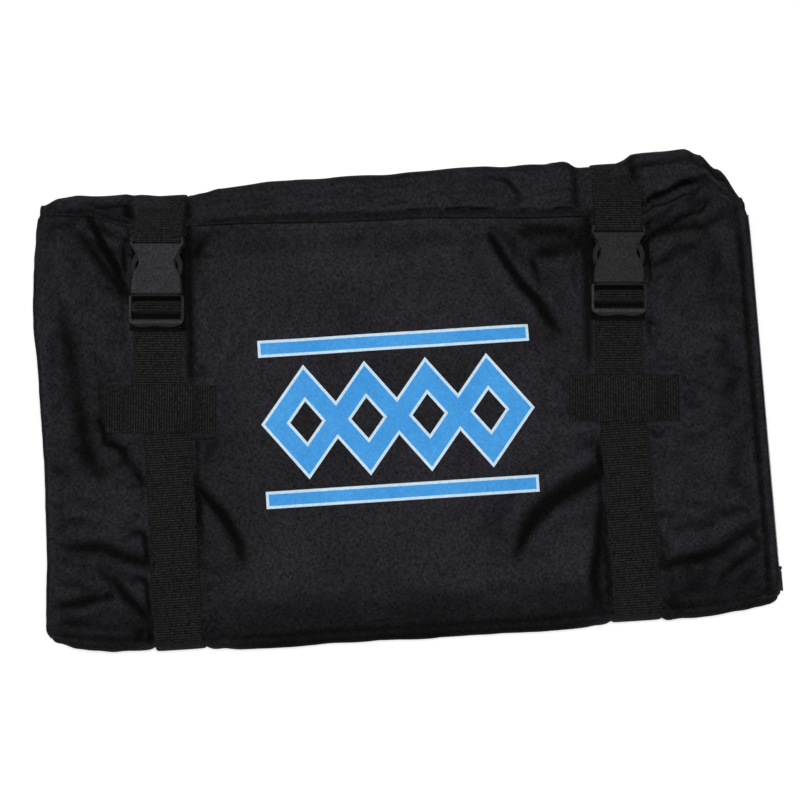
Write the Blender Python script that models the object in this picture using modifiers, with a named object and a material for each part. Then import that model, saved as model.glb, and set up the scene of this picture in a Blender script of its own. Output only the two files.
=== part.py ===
"""Padded bike travel bag, folded in three like a letter and held by two buckled straps.

The bag lies on its back straps with the printed flap up. +X runs to the right along the fold,
+Y to the top edge, +Z up, and the origin is under the middle of the bundle. Metres throughout.
"""
import math

import bmesh
import bpy
from mathutils import Euler, Vector

MM = 0.001

# Bundle and cloth
BUNDLE_WIDTH = 770 * MM
BUNDLE_LENGTH = 484 * MM
WALL = 6.0 * MM
LAYER_GAP = 0.4 * MM
SEAT_GAP = 0.3 * MM
HEM_FROM_TOP = 45 * MM
HEM_TAPE = 1.5 * MM
HEM_CLEARANCE = 2.5 * MM
WALL_EDGE_ROUND = 1.8 * MM
FOLD_STEPS = 14
FOLD_LEAD = 1.0 * MM

# Webbing
WEBBING_WIDTH = 50 * MM
WEBBING = 1.6 * MM
LEFT_STRAP_FROM_SIDE = 135 * MM
RIGHT_STRAP_FROM_SIDE = 157.5 * MM

# Closed side and zip side of the bag
SPINE = 2.5 * MM
ZIP_CHAIN_WIDTH = 6.0 * MM
ZIP_CHAIN = 2.2 * MM
SLIDER_LENGTH = 15 * MM
SLIDER_PLATE = 1.6 * MM
SLIDER_FLANGE = 1.5 * MM
SLIDER_FROM_END = 26 * MM
SLIDER_TAPER = 0.10
PULL_BAR_RADIUS = 0.8 * MM
PULL_EYE_WALL = 0.8 * MM
PULL_EYE_HEIGHT = 4.0 * MM
PULL_POST = 1.2 * MM
PULL_LENGTH = 24 * MM
PULL_WIDTH = 6.5 * MM
PULL_THICKNESS = 1.4 * MM

# Buckles: the mouth of the socket is each buckle's own origin, and Y runs up the strap
LEFT_MOUTH_FROM_SIDE = 132 * MM
LEFT_MOUTH_FROM_TOP = 109 * MM
RIGHT_MOUTH_FROM_SIDE = 152.5 * MM
RIGHT_MOUTH_FROM_TOP = 128.5 * MM
BUCKLE_TILT = math.radians(-3.7)
SOCKET_THICKNESS = 12.0 * MM
SOCKET_WALL = 2.1 * MM
SOCKET_LENGTH = 60.6 * MM
SOCKET_MOUTH_WIDTH = 53 * MM
SOCKET_EAR_WIDTH = 56.6 * MM
SOCKET_WAIST_WIDTH = 37.2 * MM
SOCKET_WAIST_AT = 33 * MM
SOCKET_SIDE_WALL = 3.0 * MM
SOCKET_EDGE_ROUND = 1.0 * MM
SOCKET_DRAFT = 0.6 * MM
SOCKET_GRIP_LENGTH = 14 * MM
SOCKET_SHOULDER_IN = 2.2 * MM
SOCKET_EAR_NECK_IN = 5.5 * MM
SOCKET_EAR_LENGTH = 8 * MM
WINDOW_START = 19.5 * MM
WINDOW_END = 46 * MM
STRAP_SIDE_CLEARANCE = 0.8 * MM
SOCKET_BAR = 4.2 * MM
SOCKET_BAR_HEIGHT = 5.0 * MM
SOCKET_BAR_INSET = 0.2 * MM
SOCKET_SLOT = 3.4 * MM
FRAME_WIDTH = 57.5 * MM
FRAME_THICKNESS = 5.0 * MM
FRAME_TOP_BAR = 2.2 * MM
FRAME_BAR = 8.8 * MM
FRAME_BAR_HEIGHT = 3.2 * MM
FRAME_INNER_SLOT = 6.8 * MM
FRAME_OUTER_SLOT = 8.3 * MM
FRAME_BOTTOM_BAR = 7.0 * MM
FRAME_EDGE_ROUND = 0.7 * MM
FRAME_CORNER = 2.5 * MM
FRAME_BOTTOM_BOW = 0.6 * MM
MOUTH_GAP = 0.4 * MM
SHOULDER_DEPTH = 4.0 * MM
TONGUE_CLEARANCE = 0.5 * MM
GUIDE_WIDTH = 13 * MM
GUIDE_LENGTH = 43 * MM
GUIDE_ROOT = 2.0 * MM
GUIDE_ROOT_LENGTH = 3.0 * MM
GUIDE_DRAFT = 1.0 * MM
GUIDE_TIP = 4.0 * MM
GUIDE_TIP_IN = 3.0 * MM
ARM_PIVOT_X = 18.6 * MM
ARM_ROOT_RADIUS = 2.0 * MM
ARM_WIDTH = 4.6 * MM
ARM_TIP_AT = 43.5 * MM
ARM_EDGE_ROUND = 0.5 * MM
ARM_WAIST_IN = 0.8 * MM
ARM_TIP_IN = 2.2 * MM
ARM_BACK_SPREAD = 0.6 * MM
PAD_REACH = 27.4 * MM
PAD_END_IN = 2.6 * MM
BARB_REACH = 25.8 * MM

# Shares of an arm's length, from its root to its tip
ARM_BACK_AT = 0.34
PAD_AT = 0.62
PAD_END_AT = 0.86
TIP_BACK_AT = 0.93

# Keepers: cross patches sewn over the straps, 121 mm below each mouth
KEEPER_BELOW_MOUTH = 121 * MM
KEEPER_WIDTH = 116 * MM
KEEPER_HEIGHT = 50 * MM
KEEPER_OFFSET = 5.3 * MM
KEEPER_TUNNEL = 66.4 * MM
KEEPER_RAMP = 4.8 * MM
ADJUSTER_START_ABOVE_KEEPER_MIDDLE = 2.5 * MM
LOWER_STRAP_END_BELOW_KEEPER_MIDDLE = 1.5 * MM
TAIL_PAST_KEEPER_MIDDLE = 12 * MM
UPPER_STRAP_RETURN = 24 * MM
UPPER_STRAP_STEPS = 20
UPPER_STRAP_RETURN_STEPS = 7
UPPER_STRAP_CLOSES_AT = 0.6
CREST_LAP = 8

# Bends of the adjusting strap: (along, height) from the bar's edge and the level it leaves
ADJUSTER_RISE = ((-3.2 * MM, 0.2 * MM), (-0.1 * MM, 1.7 * MM))
ADJUSTER_DIP = (-2.0 * MM, -0.1 * MM)
ADJUSTER_LANDING = (-4.4 * MM, 0.5 * MM)
ADJUSTER_PAST_FRAME = 1.0 * MM

# Print on the flap: a lattice of diamonds between two lines
PRINT_CENTRE = (-8 * MM, -11 * MM)
PRINT_WIDTH = 280 * MM
PRINT_HEIGHT = 171 * MM
PRINT_BAND = 18 * MM
PRINT_LINE = 12 * MM
PRINT_THICKNESS = 0.4 * MM
PRINT_DIAMONDS = 4

# Places worked out from the sizes above
HALF_WIDTH = BUNDLE_WIDTH / 2
LAYER_PITCH = WALL + LAYER_GAP
STACK_FLOOR = WEBBING + SEAT_GAP
FLAP_TOP = STACK_FLOOR + 5 * LAYER_PITCH + WALL
TOP_CREST = BUNDLE_LENGTH / 2
BOTTOM_CREST = -BUNDLE_LENGTH / 2
TOP_FOLD_RADIUS = (3 * LAYER_PITCH + WALL) / 2
TOP_FOLD_Y = TOP_CREST - TOP_FOLD_RADIUS
TOP_FOLD_Z = STACK_FLOOR + TOP_FOLD_RADIUS
BOTTOM_FOLD_RADIUS = (FLAP_TOP - STACK_FLOOR) / 2
BOTTOM_FOLD_Y = BOTTOM_CREST + BOTTOM_FOLD_RADIUS + FOLD_LEAD + SEAT_GAP
BOTTOM_FOLD_Z = STACK_FLOOR + BOTTOM_FOLD_RADIUS
HEM_Y = TOP_CREST - HEM_FROM_TOP
PULL_EYE_RADIUS = PULL_BAR_RADIUS + SEAT_GAP + PULL_EYE_WALL
PANEL_LEFT = -HALF_WIDTH + SPINE + SEAT_GAP
CHAIN_RIGHT_ROOM = 2 * PULL_EYE_RADIUS + SEAT_GAP + SLIDER_PLATE + SEAT_GAP
PANEL_RIGHT = HALF_WIDTH - CHAIN_RIGHT_ROOM - ZIP_CHAIN - SEAT_GAP
STRAP_LIFT = SEAT_GAP + WEBBING / 2
LEVEL_ONE = FLAP_TOP + STRAP_LIFT
LEVEL_TWO = LEVEL_ONE + SEAT_GAP + WEBBING
BUCKLE_Z = LEVEL_TWO + WEBBING / 2 + SEAT_GAP + FRAME_THICKNESS / 2
STRAP_SLOT_WIDTH = WEBBING_WIDTH + 2 * STRAP_SIDE_CLEARANCE
CAVITY_HALF_WIDTH = SOCKET_MOUTH_WIDTH / 2 - SOCKET_SIDE_WALL
CAVITY_HALF_HEIGHT = SOCKET_THICKNESS / 2 - SOCKET_WALL
ARM_PIVOT_Y = SHOULDER_DEPTH + SEAT_GAP + ARM_ROOT_RADIUS
SOCKET_BAR_FAR = SOCKET_LENGTH - SOCKET_BAR_INSET
SOCKET_BAR_NEAR = SOCKET_BAR_FAR - SOCKET_BAR
LEFT_STRAP_X = LEFT_STRAP_FROM_SIDE - HALF_WIDTH
RIGHT_STRAP_X = HALF_WIDTH - RIGHT_STRAP_FROM_SIDE
LEFT_MOUTH = (LEFT_MOUTH_FROM_SIDE - HALF_WIDTH, TOP_CREST - LEFT_MOUTH_FROM_TOP)
RIGHT_MOUTH = (HALF_WIDTH - RIGHT_MOUTH_FROM_SIDE, TOP_CREST - RIGHT_MOUTH_FROM_TOP)
HINGE_POINT = Vector((0, BOTTOM_CREST, BOTTOM_FOLD_Z))


def clear_scene():
    """Remove every object, so the model starts from an empty scene."""
    for thing in list(bpy.data.objects):
        bpy.data.objects.remove(thing, do_unlink=True)


def new_collection(name):
    """Make a collection and link it to the scene."""
    collection = bpy.data.collections.new(name)
    bpy.context.scene.collection.children.link(collection)
    return collection


def new_material(name, colour, roughness, metallic=0.0):
    """Make a plain Principled material."""
    material = bpy.data.materials.new(name)
    material.use_nodes = True
    shader = material.node_tree.nodes["Principled BSDF"]
    shader.inputs["Base Color"].default_value = (*colour, 1.0)
    shader.inputs["Roughness"].default_value = roughness
    shader.inputs["Metallic"].default_value = metallic
    return material


clear_scene()
PARTS = new_collection("bike_travel_bag")
CUTTERS = new_collection("cutters")
CLOTH = new_material("black_oxford_cloth", (0.013, 0.012, 0.014), 0.72)
TAPE = new_material("black_binding_tape", (0.016, 0.015, 0.017), 0.65)
STRAP = new_material("black_webbing", (0.018, 0.017, 0.019), 0.6)
PLASTIC = new_material("black_acetal", (0.032, 0.032, 0.036), 0.42)
ZIP = new_material("black_zip", (0.020, 0.020, 0.022), 0.45)
PRINT = new_material("blue_print", (0.062, 0.352, 0.791), 0.5)


def hang(thing, carrier):
    """Let an empty carry a thing that was placed in world coordinates."""
    if carrier:
        thing.parent = carrier
        bpy.context.view_layer.update()
        thing.location -= carrier.matrix_world.translation


def empty_at(name, place, carrier=None):
    """Make an empty that carries the pieces which turn or slide about this place."""
    empty = bpy.data.objects.new(name, None)
    empty.empty_display_size = 0.02
    empty.location = place
    PARTS.objects.link(empty)
    hang(empty, carrier)
    return empty


def add_part(name, mesh, material, place=(0, 0, 0), turn=0.0, carrier=None):
    """Make the object of one sub-part, set at its place and carried by an empty."""
    mesh.name = name
    mesh.materials.clear()
    mesh.materials.append(material)
    part = bpy.data.objects.new(name, mesh)
    part.location = Vector(place)
    part.rotation_euler.z = turn
    PARTS.objects.link(part)
    hang(part, carrier)
    return part


def add_bevel(part, width, segments=2):
    """Round the sharp edges of a part."""
    bevel = part.modifiers.new("edge round", "BEVEL")
    bevel.width = width
    bevel.segments = segments
    bevel.limit_method = "ANGLE"
    bevel.angle_limit = math.radians(40)


def combine(part, mesh, operation):
    """Join a closed shape, given in the part's own frame, to the part or cut it out."""
    helper = bpy.data.objects.new(operation.lower() + "_" + part.name, mesh)
    helper.location = part.location
    helper.rotation_euler = part.rotation_euler
    helper.parent = part.parent
    CUTTERS.objects.link(helper)
    helper.hide_render = True
    helper.display_type = "WIRE"
    boolean = part.modifiers.new(operation.lower(), "BOOLEAN")
    boolean.operation = operation
    boolean.solver = "EXACT"
    boolean.object = helper


def shade_smooth(part, sharp=35):
    """Shade a round piece smooth between its sharp edges."""
    part.data.shade_smooth()
    part.data.set_sharp_from_angle(angle=math.radians(sharp))


def box_mesh(low, high):
    """Return a box between two corners, made from bmesh's unit cube."""
    low = Vector(low)
    size = Vector(high) - low
    shape = bmesh.new()
    bmesh.ops.create_cube(shape, size=1.0)
    bmesh.ops.scale(shape, vec=size, verts=shape.verts)
    bmesh.ops.translate(shape, vec=low + size / 2, verts=shape.verts)
    mesh = bpy.data.meshes.new("box")
    shape.to_mesh(mesh)
    shape.free()
    return mesh


def cut_box(part, low, high):
    """Cut a box, given in the part's own frame, out of the part."""
    combine(part, box_mesh(low, high), "DIFFERENCE")


def plate_mesh(outlines, thickness, corner_steps=5):
    """Return a flat plate from closed outlines, the first outside and the rest holes.

    A point is (x, y), or (x, y, "round") where the outline runs smoothly through it.
    """
    curve = bpy.data.curves.new("outline", "CURVE")
    curve.dimensions = "2D"
    curve.fill_mode = "BOTH"
    curve.extrude = thickness / 2
    curve.resolution_u = corner_steps
    for outline in outlines:
        spline = curve.splines.new("BEZIER")
        spline.use_cyclic_u = True
        spline.bezier_points.add(len(outline) - 1)
        for point, knot in zip(outline, spline.bezier_points):
            knot.co = (point[0], point[1], 0)
            handle = "AUTO" if len(point) == 3 else "VECTOR"
            knot.handle_left_type = handle
            knot.handle_right_type = handle
    holder = bpy.data.objects.new("outline", curve)
    CUTTERS.objects.link(holder)
    bpy.context.view_layer.update()
    evaluated = holder.evaluated_get(bpy.context.evaluated_depsgraph_get())
    mesh = bpy.data.meshes.new_from_object(evaluated)
    bpy.data.objects.remove(holder, do_unlink=True)
    shape = bmesh.new()
    shape.from_mesh(mesh)
    bmesh.ops.remove_doubles(shape, verts=shape.verts, dist=0.01 * MM)
    bmesh.ops.dissolve_limit(
        shape, angle_limit=math.radians(0.5), verts=shape.verts, edges=shape.edges
    )
    bmesh.ops.recalc_face_normals(shape, faces=shape.faces)
    shape.to_mesh(mesh)
    shape.free()
    return mesh


def ribbon_mesh(stations):
    """Return an open strip through stations, each a pair of points on its two edges."""
    shape = bmesh.new()
    rows = [[shape.verts.new(point) for point in station] for station in stations]
    for first, second in zip(rows, rows[1:]):
        shape.faces.new((first[0], first[1], second[1], second[0]))
    mesh = bpy.data.meshes.new("strip")
    shape.to_mesh(mesh)
    shape.free()
    return mesh


def add_ribbon(name, stations, thickness, material, place=(0, 0, 0), turn=0.0, carrier=None):
    """Make a strip of even thickness, half of it on each side of its stations."""
    part = add_part(name, ribbon_mesh(stations), material, place, turn, carrier)
    solid = part.modifiers.new("thickness", "SOLIDIFY")
    solid.thickness = thickness
    solid.offset = 0
    solid.use_even_offset = True
    return part


def arc(centre, radius, start, end, steps):
    """Return points (y, z) on an arc, angles in degrees from +Y towards +Z."""
    angles = [math.radians(start + (end - start) * i / steps) for i in range(steps + 1)]
    return [
        (centre[0] + radius * math.cos(a), centre[1] + radius * math.sin(a)) for a in angles
    ]


def across_x(path, low, high):
    """Turn a path of (y, z) into stations that span from low to high in X."""
    return [((low, y, z), (high, y, z)) for y, z in path]


def smooth_step(value):
    """Ease from 0 to 1, flat at both ends."""
    value = min(max(value, 0.0), 1.0)
    return value * value * (3 - 2 * value)


def body_path(depth):
    """Rear section, top fold and middle section as one path, depth in from the outer face."""
    radius = TOP_FOLD_RADIUS - depth
    start = BOTTOM_FOLD_Y + HEM_TAPE + SEAT_GAP
    fold = arc((TOP_FOLD_Y, TOP_FOLD_Z), radius, -90, 90, FOLD_STEPS)
    return [(BOTTOM_FOLD_Y, TOP_FOLD_Z - radius)] + fold + [(start, TOP_FOLD_Z + radius)]


def bottom_fold_path(depth):
    """The half turn that joins the rear section to the flap, with a short straight at each end."""
    radius = BOTTOM_FOLD_RADIUS - depth
    centre = (BOTTOM_FOLD_Y - SEAT_GAP - FOLD_LEAD, BOTTOM_FOLD_Z)
    turn = arc(centre, radius, 270, 90, FOLD_STEPS)
    end = BOTTOM_FOLD_Y - SEAT_GAP
    return [(end, BOTTOM_FOLD_Z - radius), *turn, (end, BOTTOM_FOLD_Z + radius)]


def flap_path(depth):
    """The flap, from the bottom fold to its hem."""
    height = FLAP_TOP - depth
    return [(BOTTOM_FOLD_Y, height), (HEM_Y - HEM_TAPE - SEAT_GAP, height)]


def add_walls(flap_hinge):
    """Make the outer and inner padded walls of the three sections and of the bottom fold."""
    for name, depth in (("outer", WALL / 2), ("inner", WALL / 2 + LAYER_PITCH)):
        sections = (
            (name + "_wall", body_path(depth), None),
            ("flap_" + name + "_wall", flap_path(depth), flap_hinge),
            ("fold_" + name + "_wall", bottom_fold_path(depth), None),
        )
        for part_name, path, carrier in sections:
            stations = across_x(path, PANEL_LEFT, PANEL_RIGHT)
            wall = add_ribbon(part_name, stations, WALL, CLOTH, carrier=carrier)
            if not part_name.startswith("fold"):
                add_bevel(wall, WALL_EDGE_ROUND)


def edge_middle_depth():
    """Depth of the seam between the outer and the inner wall."""
    return WALL + LAYER_GAP / 2


def add_side_strips(flap_hinge):
    """Make the closed left side and the zip chain on the right, section by section."""
    depth = edge_middle_depth()
    left = (-HALF_WIDTH, -HALF_WIDTH + SPINE)
    right = (PANEL_RIGHT + SEAT_GAP, PANEL_RIGHT + SEAT_GAP + ZIP_CHAIN)
    sides = (
        ("closed_side", left, 2 * WALL, CLOTH),
        ("zip_chain", right, ZIP_CHAIN_WIDTH, ZIP),
    )
    for name, (low, high), width, material in sides:
        add_ribbon(name, across_x(body_path(depth), low, high), width, material)
        fold = across_x(bottom_fold_path(depth), low, high)
        add_ribbon("fold_" + name, fold, width, material)
        flap = across_x(flap_path(depth), low, high)
        add_ribbon("flap_" + name, flap, width, material, carrier=flap_hinge)


def add_hem_tapes(flap_hinge):
    """Close the bag's two short ends: the flap's hem and the middle section's hidden end."""
    flap_low = (PANEL_LEFT, HEM_Y - HEM_TAPE, FLAP_TOP - LAYER_PITCH - WALL)
    flap_high = (PANEL_RIGHT, HEM_Y, FLAP_TOP)
    add_part("flap_hem_tape", box_mesh(flap_low, flap_high), TAPE, carrier=flap_hinge)
    middle_low = (PANEL_LEFT, BOTTOM_FOLD_Y, STACK_FLOOR + 2 * LAYER_PITCH)
    middle_high = (PANEL_RIGHT, BOTTOM_FOLD_Y + HEM_TAPE, STACK_FLOOR + 3 * LAYER_PITCH + WALL)
    add_part("middle_hem_tape", box_mesh(middle_low, middle_high), TAPE)


def slider_body():
    """Return the slider's body: a plate with two flanges that hold the chain between them."""
    plate_low = SEAT_GAP
    plate_high = plate_low + SLIDER_PLATE
    half_width = ZIP_CHAIN_WIDTH / 2 + SEAT_GAP + SLIDER_FLANGE
    shoulder = half_width - SLIDER_FLANGE
    outline = [
        (plate_high, -half_width),
        (plate_high, half_width),
        (-ZIP_CHAIN, half_width),
        (-ZIP_CHAIN, shoulder),
        (plate_low, shoulder),
        (plate_low, -shoulder),
        (-ZIP_CHAIN, -shoulder),
        (-ZIP_CHAIN, -half_width),
    ]
    mesh = plate_mesh([outline], SLIDER_LENGTH)
    for vertex in mesh.vertices:
        x, y, z = vertex.co
        widening = SLIDER_TAPER * (0.5 - z / SLIDER_LENGTH)
        is_flange_face = abs(y) > shoulder + SLIDER_FLANGE / 2
        vertex.co = (x, -z, y * (1 + widening) if is_flange_face else y)
    return mesh


def rod_mesh(radius, length, x=0.0):
    """Return a round rod along Z, centred at x."""
    shape = bmesh.new()
    bmesh.ops.create_cone(
        shape, cap_ends=True, segments=16, radius1=radius, radius2=radius, depth=length
    )
    bmesh.ops.translate(shape, vec=(x, 0, 0), verts=shape.verts)
    mesh = bpy.data.meshes.new("rod")
    shape.to_mesh(mesh)
    shape.free()
    return mesh


def add_zip_slider():
    """Make the slider at the zip's hidden end, with two posts and a bar for its pull."""
    chain_face = PANEL_RIGHT + SEAT_GAP + ZIP_CHAIN
    chain_z = FLAP_TOP - 2 * LAYER_PITCH - edge_middle_depth()
    place = Vector((chain_face, BOTTOM_FOLD_Y + SLIDER_FROM_END, chain_z))
    runner = empty_at("zip_slider_run", place)
    slider = add_part("zip_slider", slider_body(), ZIP, place, carrier=runner)
    plate_high = SEAT_GAP + SLIDER_PLATE
    bar_x = plate_high + SEAT_GAP + PULL_EYE_RADIUS
    post_in = PULL_EYE_HEIGHT / 2 + SEAT_GAP
    post_out = post_in + PULL_POST
    for low in (-post_out, post_in):
        post_low = (plate_high - PULL_POST / 2, -PULL_BAR_RADIUS, low)
        post_high = (bar_x + PULL_BAR_RADIUS, PULL_BAR_RADIUS, low + PULL_POST)
        combine(slider, box_mesh(post_low, post_high), "UNION")
    bar = rod_mesh(PULL_BAR_RADIUS, 2 * post_out - PULL_POST, bar_x)
    combine(slider, bar, "UNION")
    add_pull(place + Vector((bar_x, 0, 0)), runner)


def add_pull(place, runner):
    """Make the pull: an eye round the slider's bar, and a tab that lies along the zip."""
    pivot = empty_at("zip_pull_pivot", place, runner)
    eye = rod_mesh(PULL_EYE_RADIUS, PULL_EYE_HEIGHT)
    pull = add_part("zip_pull", eye, ZIP, place, carrier=pivot)
    half = PULL_THICKNESS / 2
    tab_low = (-half, -PULL_LENGTH, -PULL_WIDTH / 2)
    tab_high = (half, -PULL_BAR_RADIUS, PULL_WIDTH / 2)
    combine(pull, box_mesh(tab_low, tab_high), "UNION")
    combine(pull, rod_mesh(PULL_BAR_RADIUS + SEAT_GAP, 2 * PULL_EYE_HEIGHT), "DIFFERENCE")
    neck = -PULL_POST - PULL_EYE_RADIUS - 2 * SEAT_GAP
    deep = PULL_EYE_RADIUS
    for low, high in ((-PULL_WIDTH, -PULL_EYE_HEIGHT / 2), (PULL_EYE_HEIGHT / 2, PULL_WIDTH)):
        cut_box(pull, (-deep, neck, low), (deep, 0, high))


def add_back_strap(side, strap_x):
    """Make the strap under the bag, from the bottom fold round to the crest of the top fold."""
    radius = TOP_FOLD_RADIUS + STRAP_LIFT
    path = [(BOTTOM_FOLD_Y, WEBBING / 2)]
    path += arc((TOP_FOLD_Y, TOP_FOLD_Z), radius, -90, -CREST_LAP, FOLD_STEPS // 2)
    stations = across_x(path, strap_x - WEBBING_WIDTH / 2, strap_x + WEBBING_WIDTH / 2)
    add_ribbon(side + "_back_strap", stations, WEBBING, STRAP)


def add_lower_strap(side, strap_x, keeper_y, flap_hinge):
    """Make the sewn strap on the flap and the half turn that it takes round the bottom fold."""
    low = strap_x - WEBBING_WIDTH / 2
    high = strap_x + WEBBING_WIDTH / 2
    end = keeper_y - LOWER_STRAP_END_BELOW_KEEPER_MIDDLE
    path = [(BOTTOM_FOLD_Y, LEVEL_ONE), (end, LEVEL_ONE)]
    name = side + "_lower_strap"
    add_ribbon(name, across_x(path, low, high), WEBBING, STRAP, carrier=flap_hinge)
    fold = across_x(bottom_fold_path(-STRAP_LIFT), low, high)
    add_ribbon(side + "_fold_strap", fold, WEBBING, STRAP)


def keeper_stations():
    """Stations of a keeper across the straps: a wing, a ramp, the tunnel and back down."""
    low = LEVEL_ONE
    high = LEVEL_TWO + SEAT_GAP + WEBBING
    foot = KEEPER_TUNNEL / 2 + KEEPER_RAMP
    profile = [(KEEPER_WIDTH / 2, low), (foot, low), (KEEPER_TUNNEL / 2, high)]
    profile = [(-x, z) for x, z in profile] + [(x, z) for x, z in reversed(profile)]
    reach = KEEPER_HEIGHT / 2
    return [((x, -reach, z), (x, reach, z)) for x, z in profile]


def wrap(corner, radius, start, end):
    """Return the points of a strap's turn round one corner of a bar."""
    return arc(corner, radius, start, end, 4)


def frame_edges():
    """Y of the edges of the plug's frame, from the mouth down, in the buckle's own frame."""
    edges = {"top": -MOUTH_GAP}
    edges["inner"] = edges["top"] - FRAME_TOP_BAR
    edges["bar_high"] = edges["inner"] - FRAME_INNER_SLOT
    edges["bar_low"] = edges["bar_high"] - FRAME_BAR
    edges["outer"] = edges["bar_low"] - FRAME_OUTER_SLOT
    edges["bottom"] = edges["outer"] - FRAME_BOTTOM_BAR
    return edges


def adjuster_path():
    """The adjusting strap: up under the frame, over its bar, down and back along the flap."""
    edges = frame_edges()
    bar_low = edges["bar_low"]
    bar_high = edges["bar_high"]
    low = LEVEL_ONE - BUCKLE_Z
    high = LEVEL_TWO - BUCKLE_Z
    bar_top = FRAME_BAR_HEIGHT / 2
    start = -KEEPER_BELOW_MOUTH + ADJUSTER_START_ABOVE_KEEPER_MIDDLE
    path = [(start, low), (bar_low + WEBBING, low)]
    path += [(bar_high + along, low + rise) for along, rise in ADJUSTER_RISE]
    path += [(bar_high + STRAP_LIFT, -bar_top)]
    path += wrap((bar_high, bar_top), STRAP_LIFT, 0, 90)
    path += wrap((bar_low, bar_top), STRAP_LIFT, 90, 180)
    path += [(bar_low + ADJUSTER_DIP[0], ADJUSTER_DIP[1] - bar_top)]
    path += [(bar_low + ADJUSTER_LANDING[0], ADJUSTER_LANDING[1] + high)]
    path += [(edges["outer"] - ADJUSTER_PAST_FRAME, high)]
    path += [(-KEEPER_BELOW_MOUTH - TAIL_PAST_KEEPER_MIDDLE, high)]
    return path


def upper_strap_stations(mouth):
    """The upper strap: from the crest of the top fold to the socket's bar, round it and back."""
    tilt = -BUCKLE_TILT
    bar_far = SOCKET_BAR_FAR
    half_bar = SOCKET_BAR_HEIGHT / 2
    reach = STRAP_LIFT
    high = BUCKLE_Z + half_bar + reach
    crest_z = TOP_FOLD_Z + TOP_FOLD_RADIUS + reach
    run_end = (TOP_FOLD_Y - mouth[1]) / math.cos(tilt)
    run = run_end - bar_far
    knee = (HEM_Y - mouth[1]) / math.cos(tilt) + HEM_CLEARANCE
    straight = crest_z + (high - crest_z) * (run_end - knee) / run
    knee_z = max(FLAP_TOP + 2 * (SEAT_GAP + WEBBING) - WEBBING / 2 + SEAT_GAP, straight)

    def height(along):
        if along < knee:
            return high + (knee_z - high) * smooth_step((along - bar_far) / (knee - bar_far))
        return knee_z + (crest_z - knee_z) * smooth_step((along - knee) / (run_end - knee))

    def slope(along):
        probe = SEAT_GAP / 2
        return (height(along + probe) - height(along - probe)) / (2 * probe)

    outer = [bar_far + run * i / UPPER_STRAP_STEPS for i in range(UPPER_STRAP_STEPS + 1)]
    fold = arc((run_end, TOP_FOLD_Z), TOP_FOLD_RADIUS + reach, 0, 90, FOLD_STEPS // 2)
    path = fold[:-1] + [(v, height(v)) for v in reversed(outer)]
    path += wrap((SOCKET_BAR_NEAR, BUCKLE_Z + half_bar), reach, 90, 180)
    path += wrap((SOCKET_BAR_NEAR, BUCKLE_Z - half_bar), reach, 180, 270)
    for i in range(UPPER_STRAP_RETURN_STEPS + 1):
        past_bar = UPPER_STRAP_RETURN * i / UPPER_STRAP_RETURN_STEPS
        along = bar_far + past_bar
        close = (WEBBING + LAYER_GAP) * math.sqrt(1 + slope(along) ** 2)
        share = smooth_step(past_bar / (UPPER_STRAP_CLOSES_AT * UPPER_STRAP_RETURN))
        drop = (2 * half_bar + 2 * reach) * (1 - share) + close * share
        path.append((along, height(along) - drop))
    stations = []
    for along, z in path:
        turned = 1 - smooth_step((along - bar_far) / run)
        lean = tilt * turned
        centre = Vector((mouth[0] + along * math.sin(tilt), mouth[1] + along * math.cos(tilt), z))
        arm = Vector((math.cos(lean), -math.sin(lean), 0)) * WEBBING_WIDTH / 2
        stations.append((tuple(centre - arm), tuple(centre + arm)))
    return stations


def socket_outline():
    """Outline of the socket seen from above: mouth, waist where the pads show, and ears."""
    mouth = SOCKET_MOUTH_WIDTH / 2
    waist = SOCKET_WAIST_WIDTH / 2
    ear = SOCKET_EAR_WIDTH / 2
    half = [
        (mouth, 0),
        (mouth - SOCKET_DRAFT, SOCKET_GRIP_LENGTH),
        (mouth - SOCKET_SHOULDER_IN, WINDOW_START + MM, "round"),
        (waist, SOCKET_WAIST_AT, "round"),
        (ear - SOCKET_EAR_NECK_IN, WINDOW_END - 2 * MM, "round"),
        (ear, SOCKET_LENGTH - SOCKET_EAR_LENGTH),
        (ear - SOCKET_DRAFT, SOCKET_LENGTH),
    ]
    return half + [(-point[0], *point[1:]) for point in reversed(half)]


def add_socket(side, place, carrier):
    """Make the socket: a flat moulding with a cavity, side windows, a slot and a strap bar."""
    mesh = plate_mesh([socket_outline()], SOCKET_THICKNESS)
    socket = add_part(side + "_socket", mesh, PLASTIC, place, BUCKLE_TILT, carrier)
    add_bevel(socket, SOCKET_EDGE_ROUND)
    wide = SOCKET_EAR_WIDTH
    deep = SOCKET_THICKNESS
    room = CAVITY_HALF_HEIGHT
    reach = CAVITY_HALF_WIDTH
    cut_box(socket, (-reach, -deep, -room), (reach, WINDOW_START + MM, room))
    cut_box(socket, (-wide, WINDOW_START, -room), (wide, WINDOW_END, room))
    slot = STRAP_SLOT_WIDTH / 2
    bar_near = SOCKET_BAR_NEAR
    cut_box(socket, (-slot, bar_near - SOCKET_SLOT, -deep), (slot, bar_near, deep))
    for low, high in ((SOCKET_BAR_HEIGHT / 2, deep), (-deep, -SOCKET_BAR_HEIGHT / 2)):
        start = bar_near - SOCKET_SLOT / 2
        cut_box(socket, (-slot, start, low), (slot, SOCKET_LENGTH + deep, high))
    shade_smooth(socket)


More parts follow.
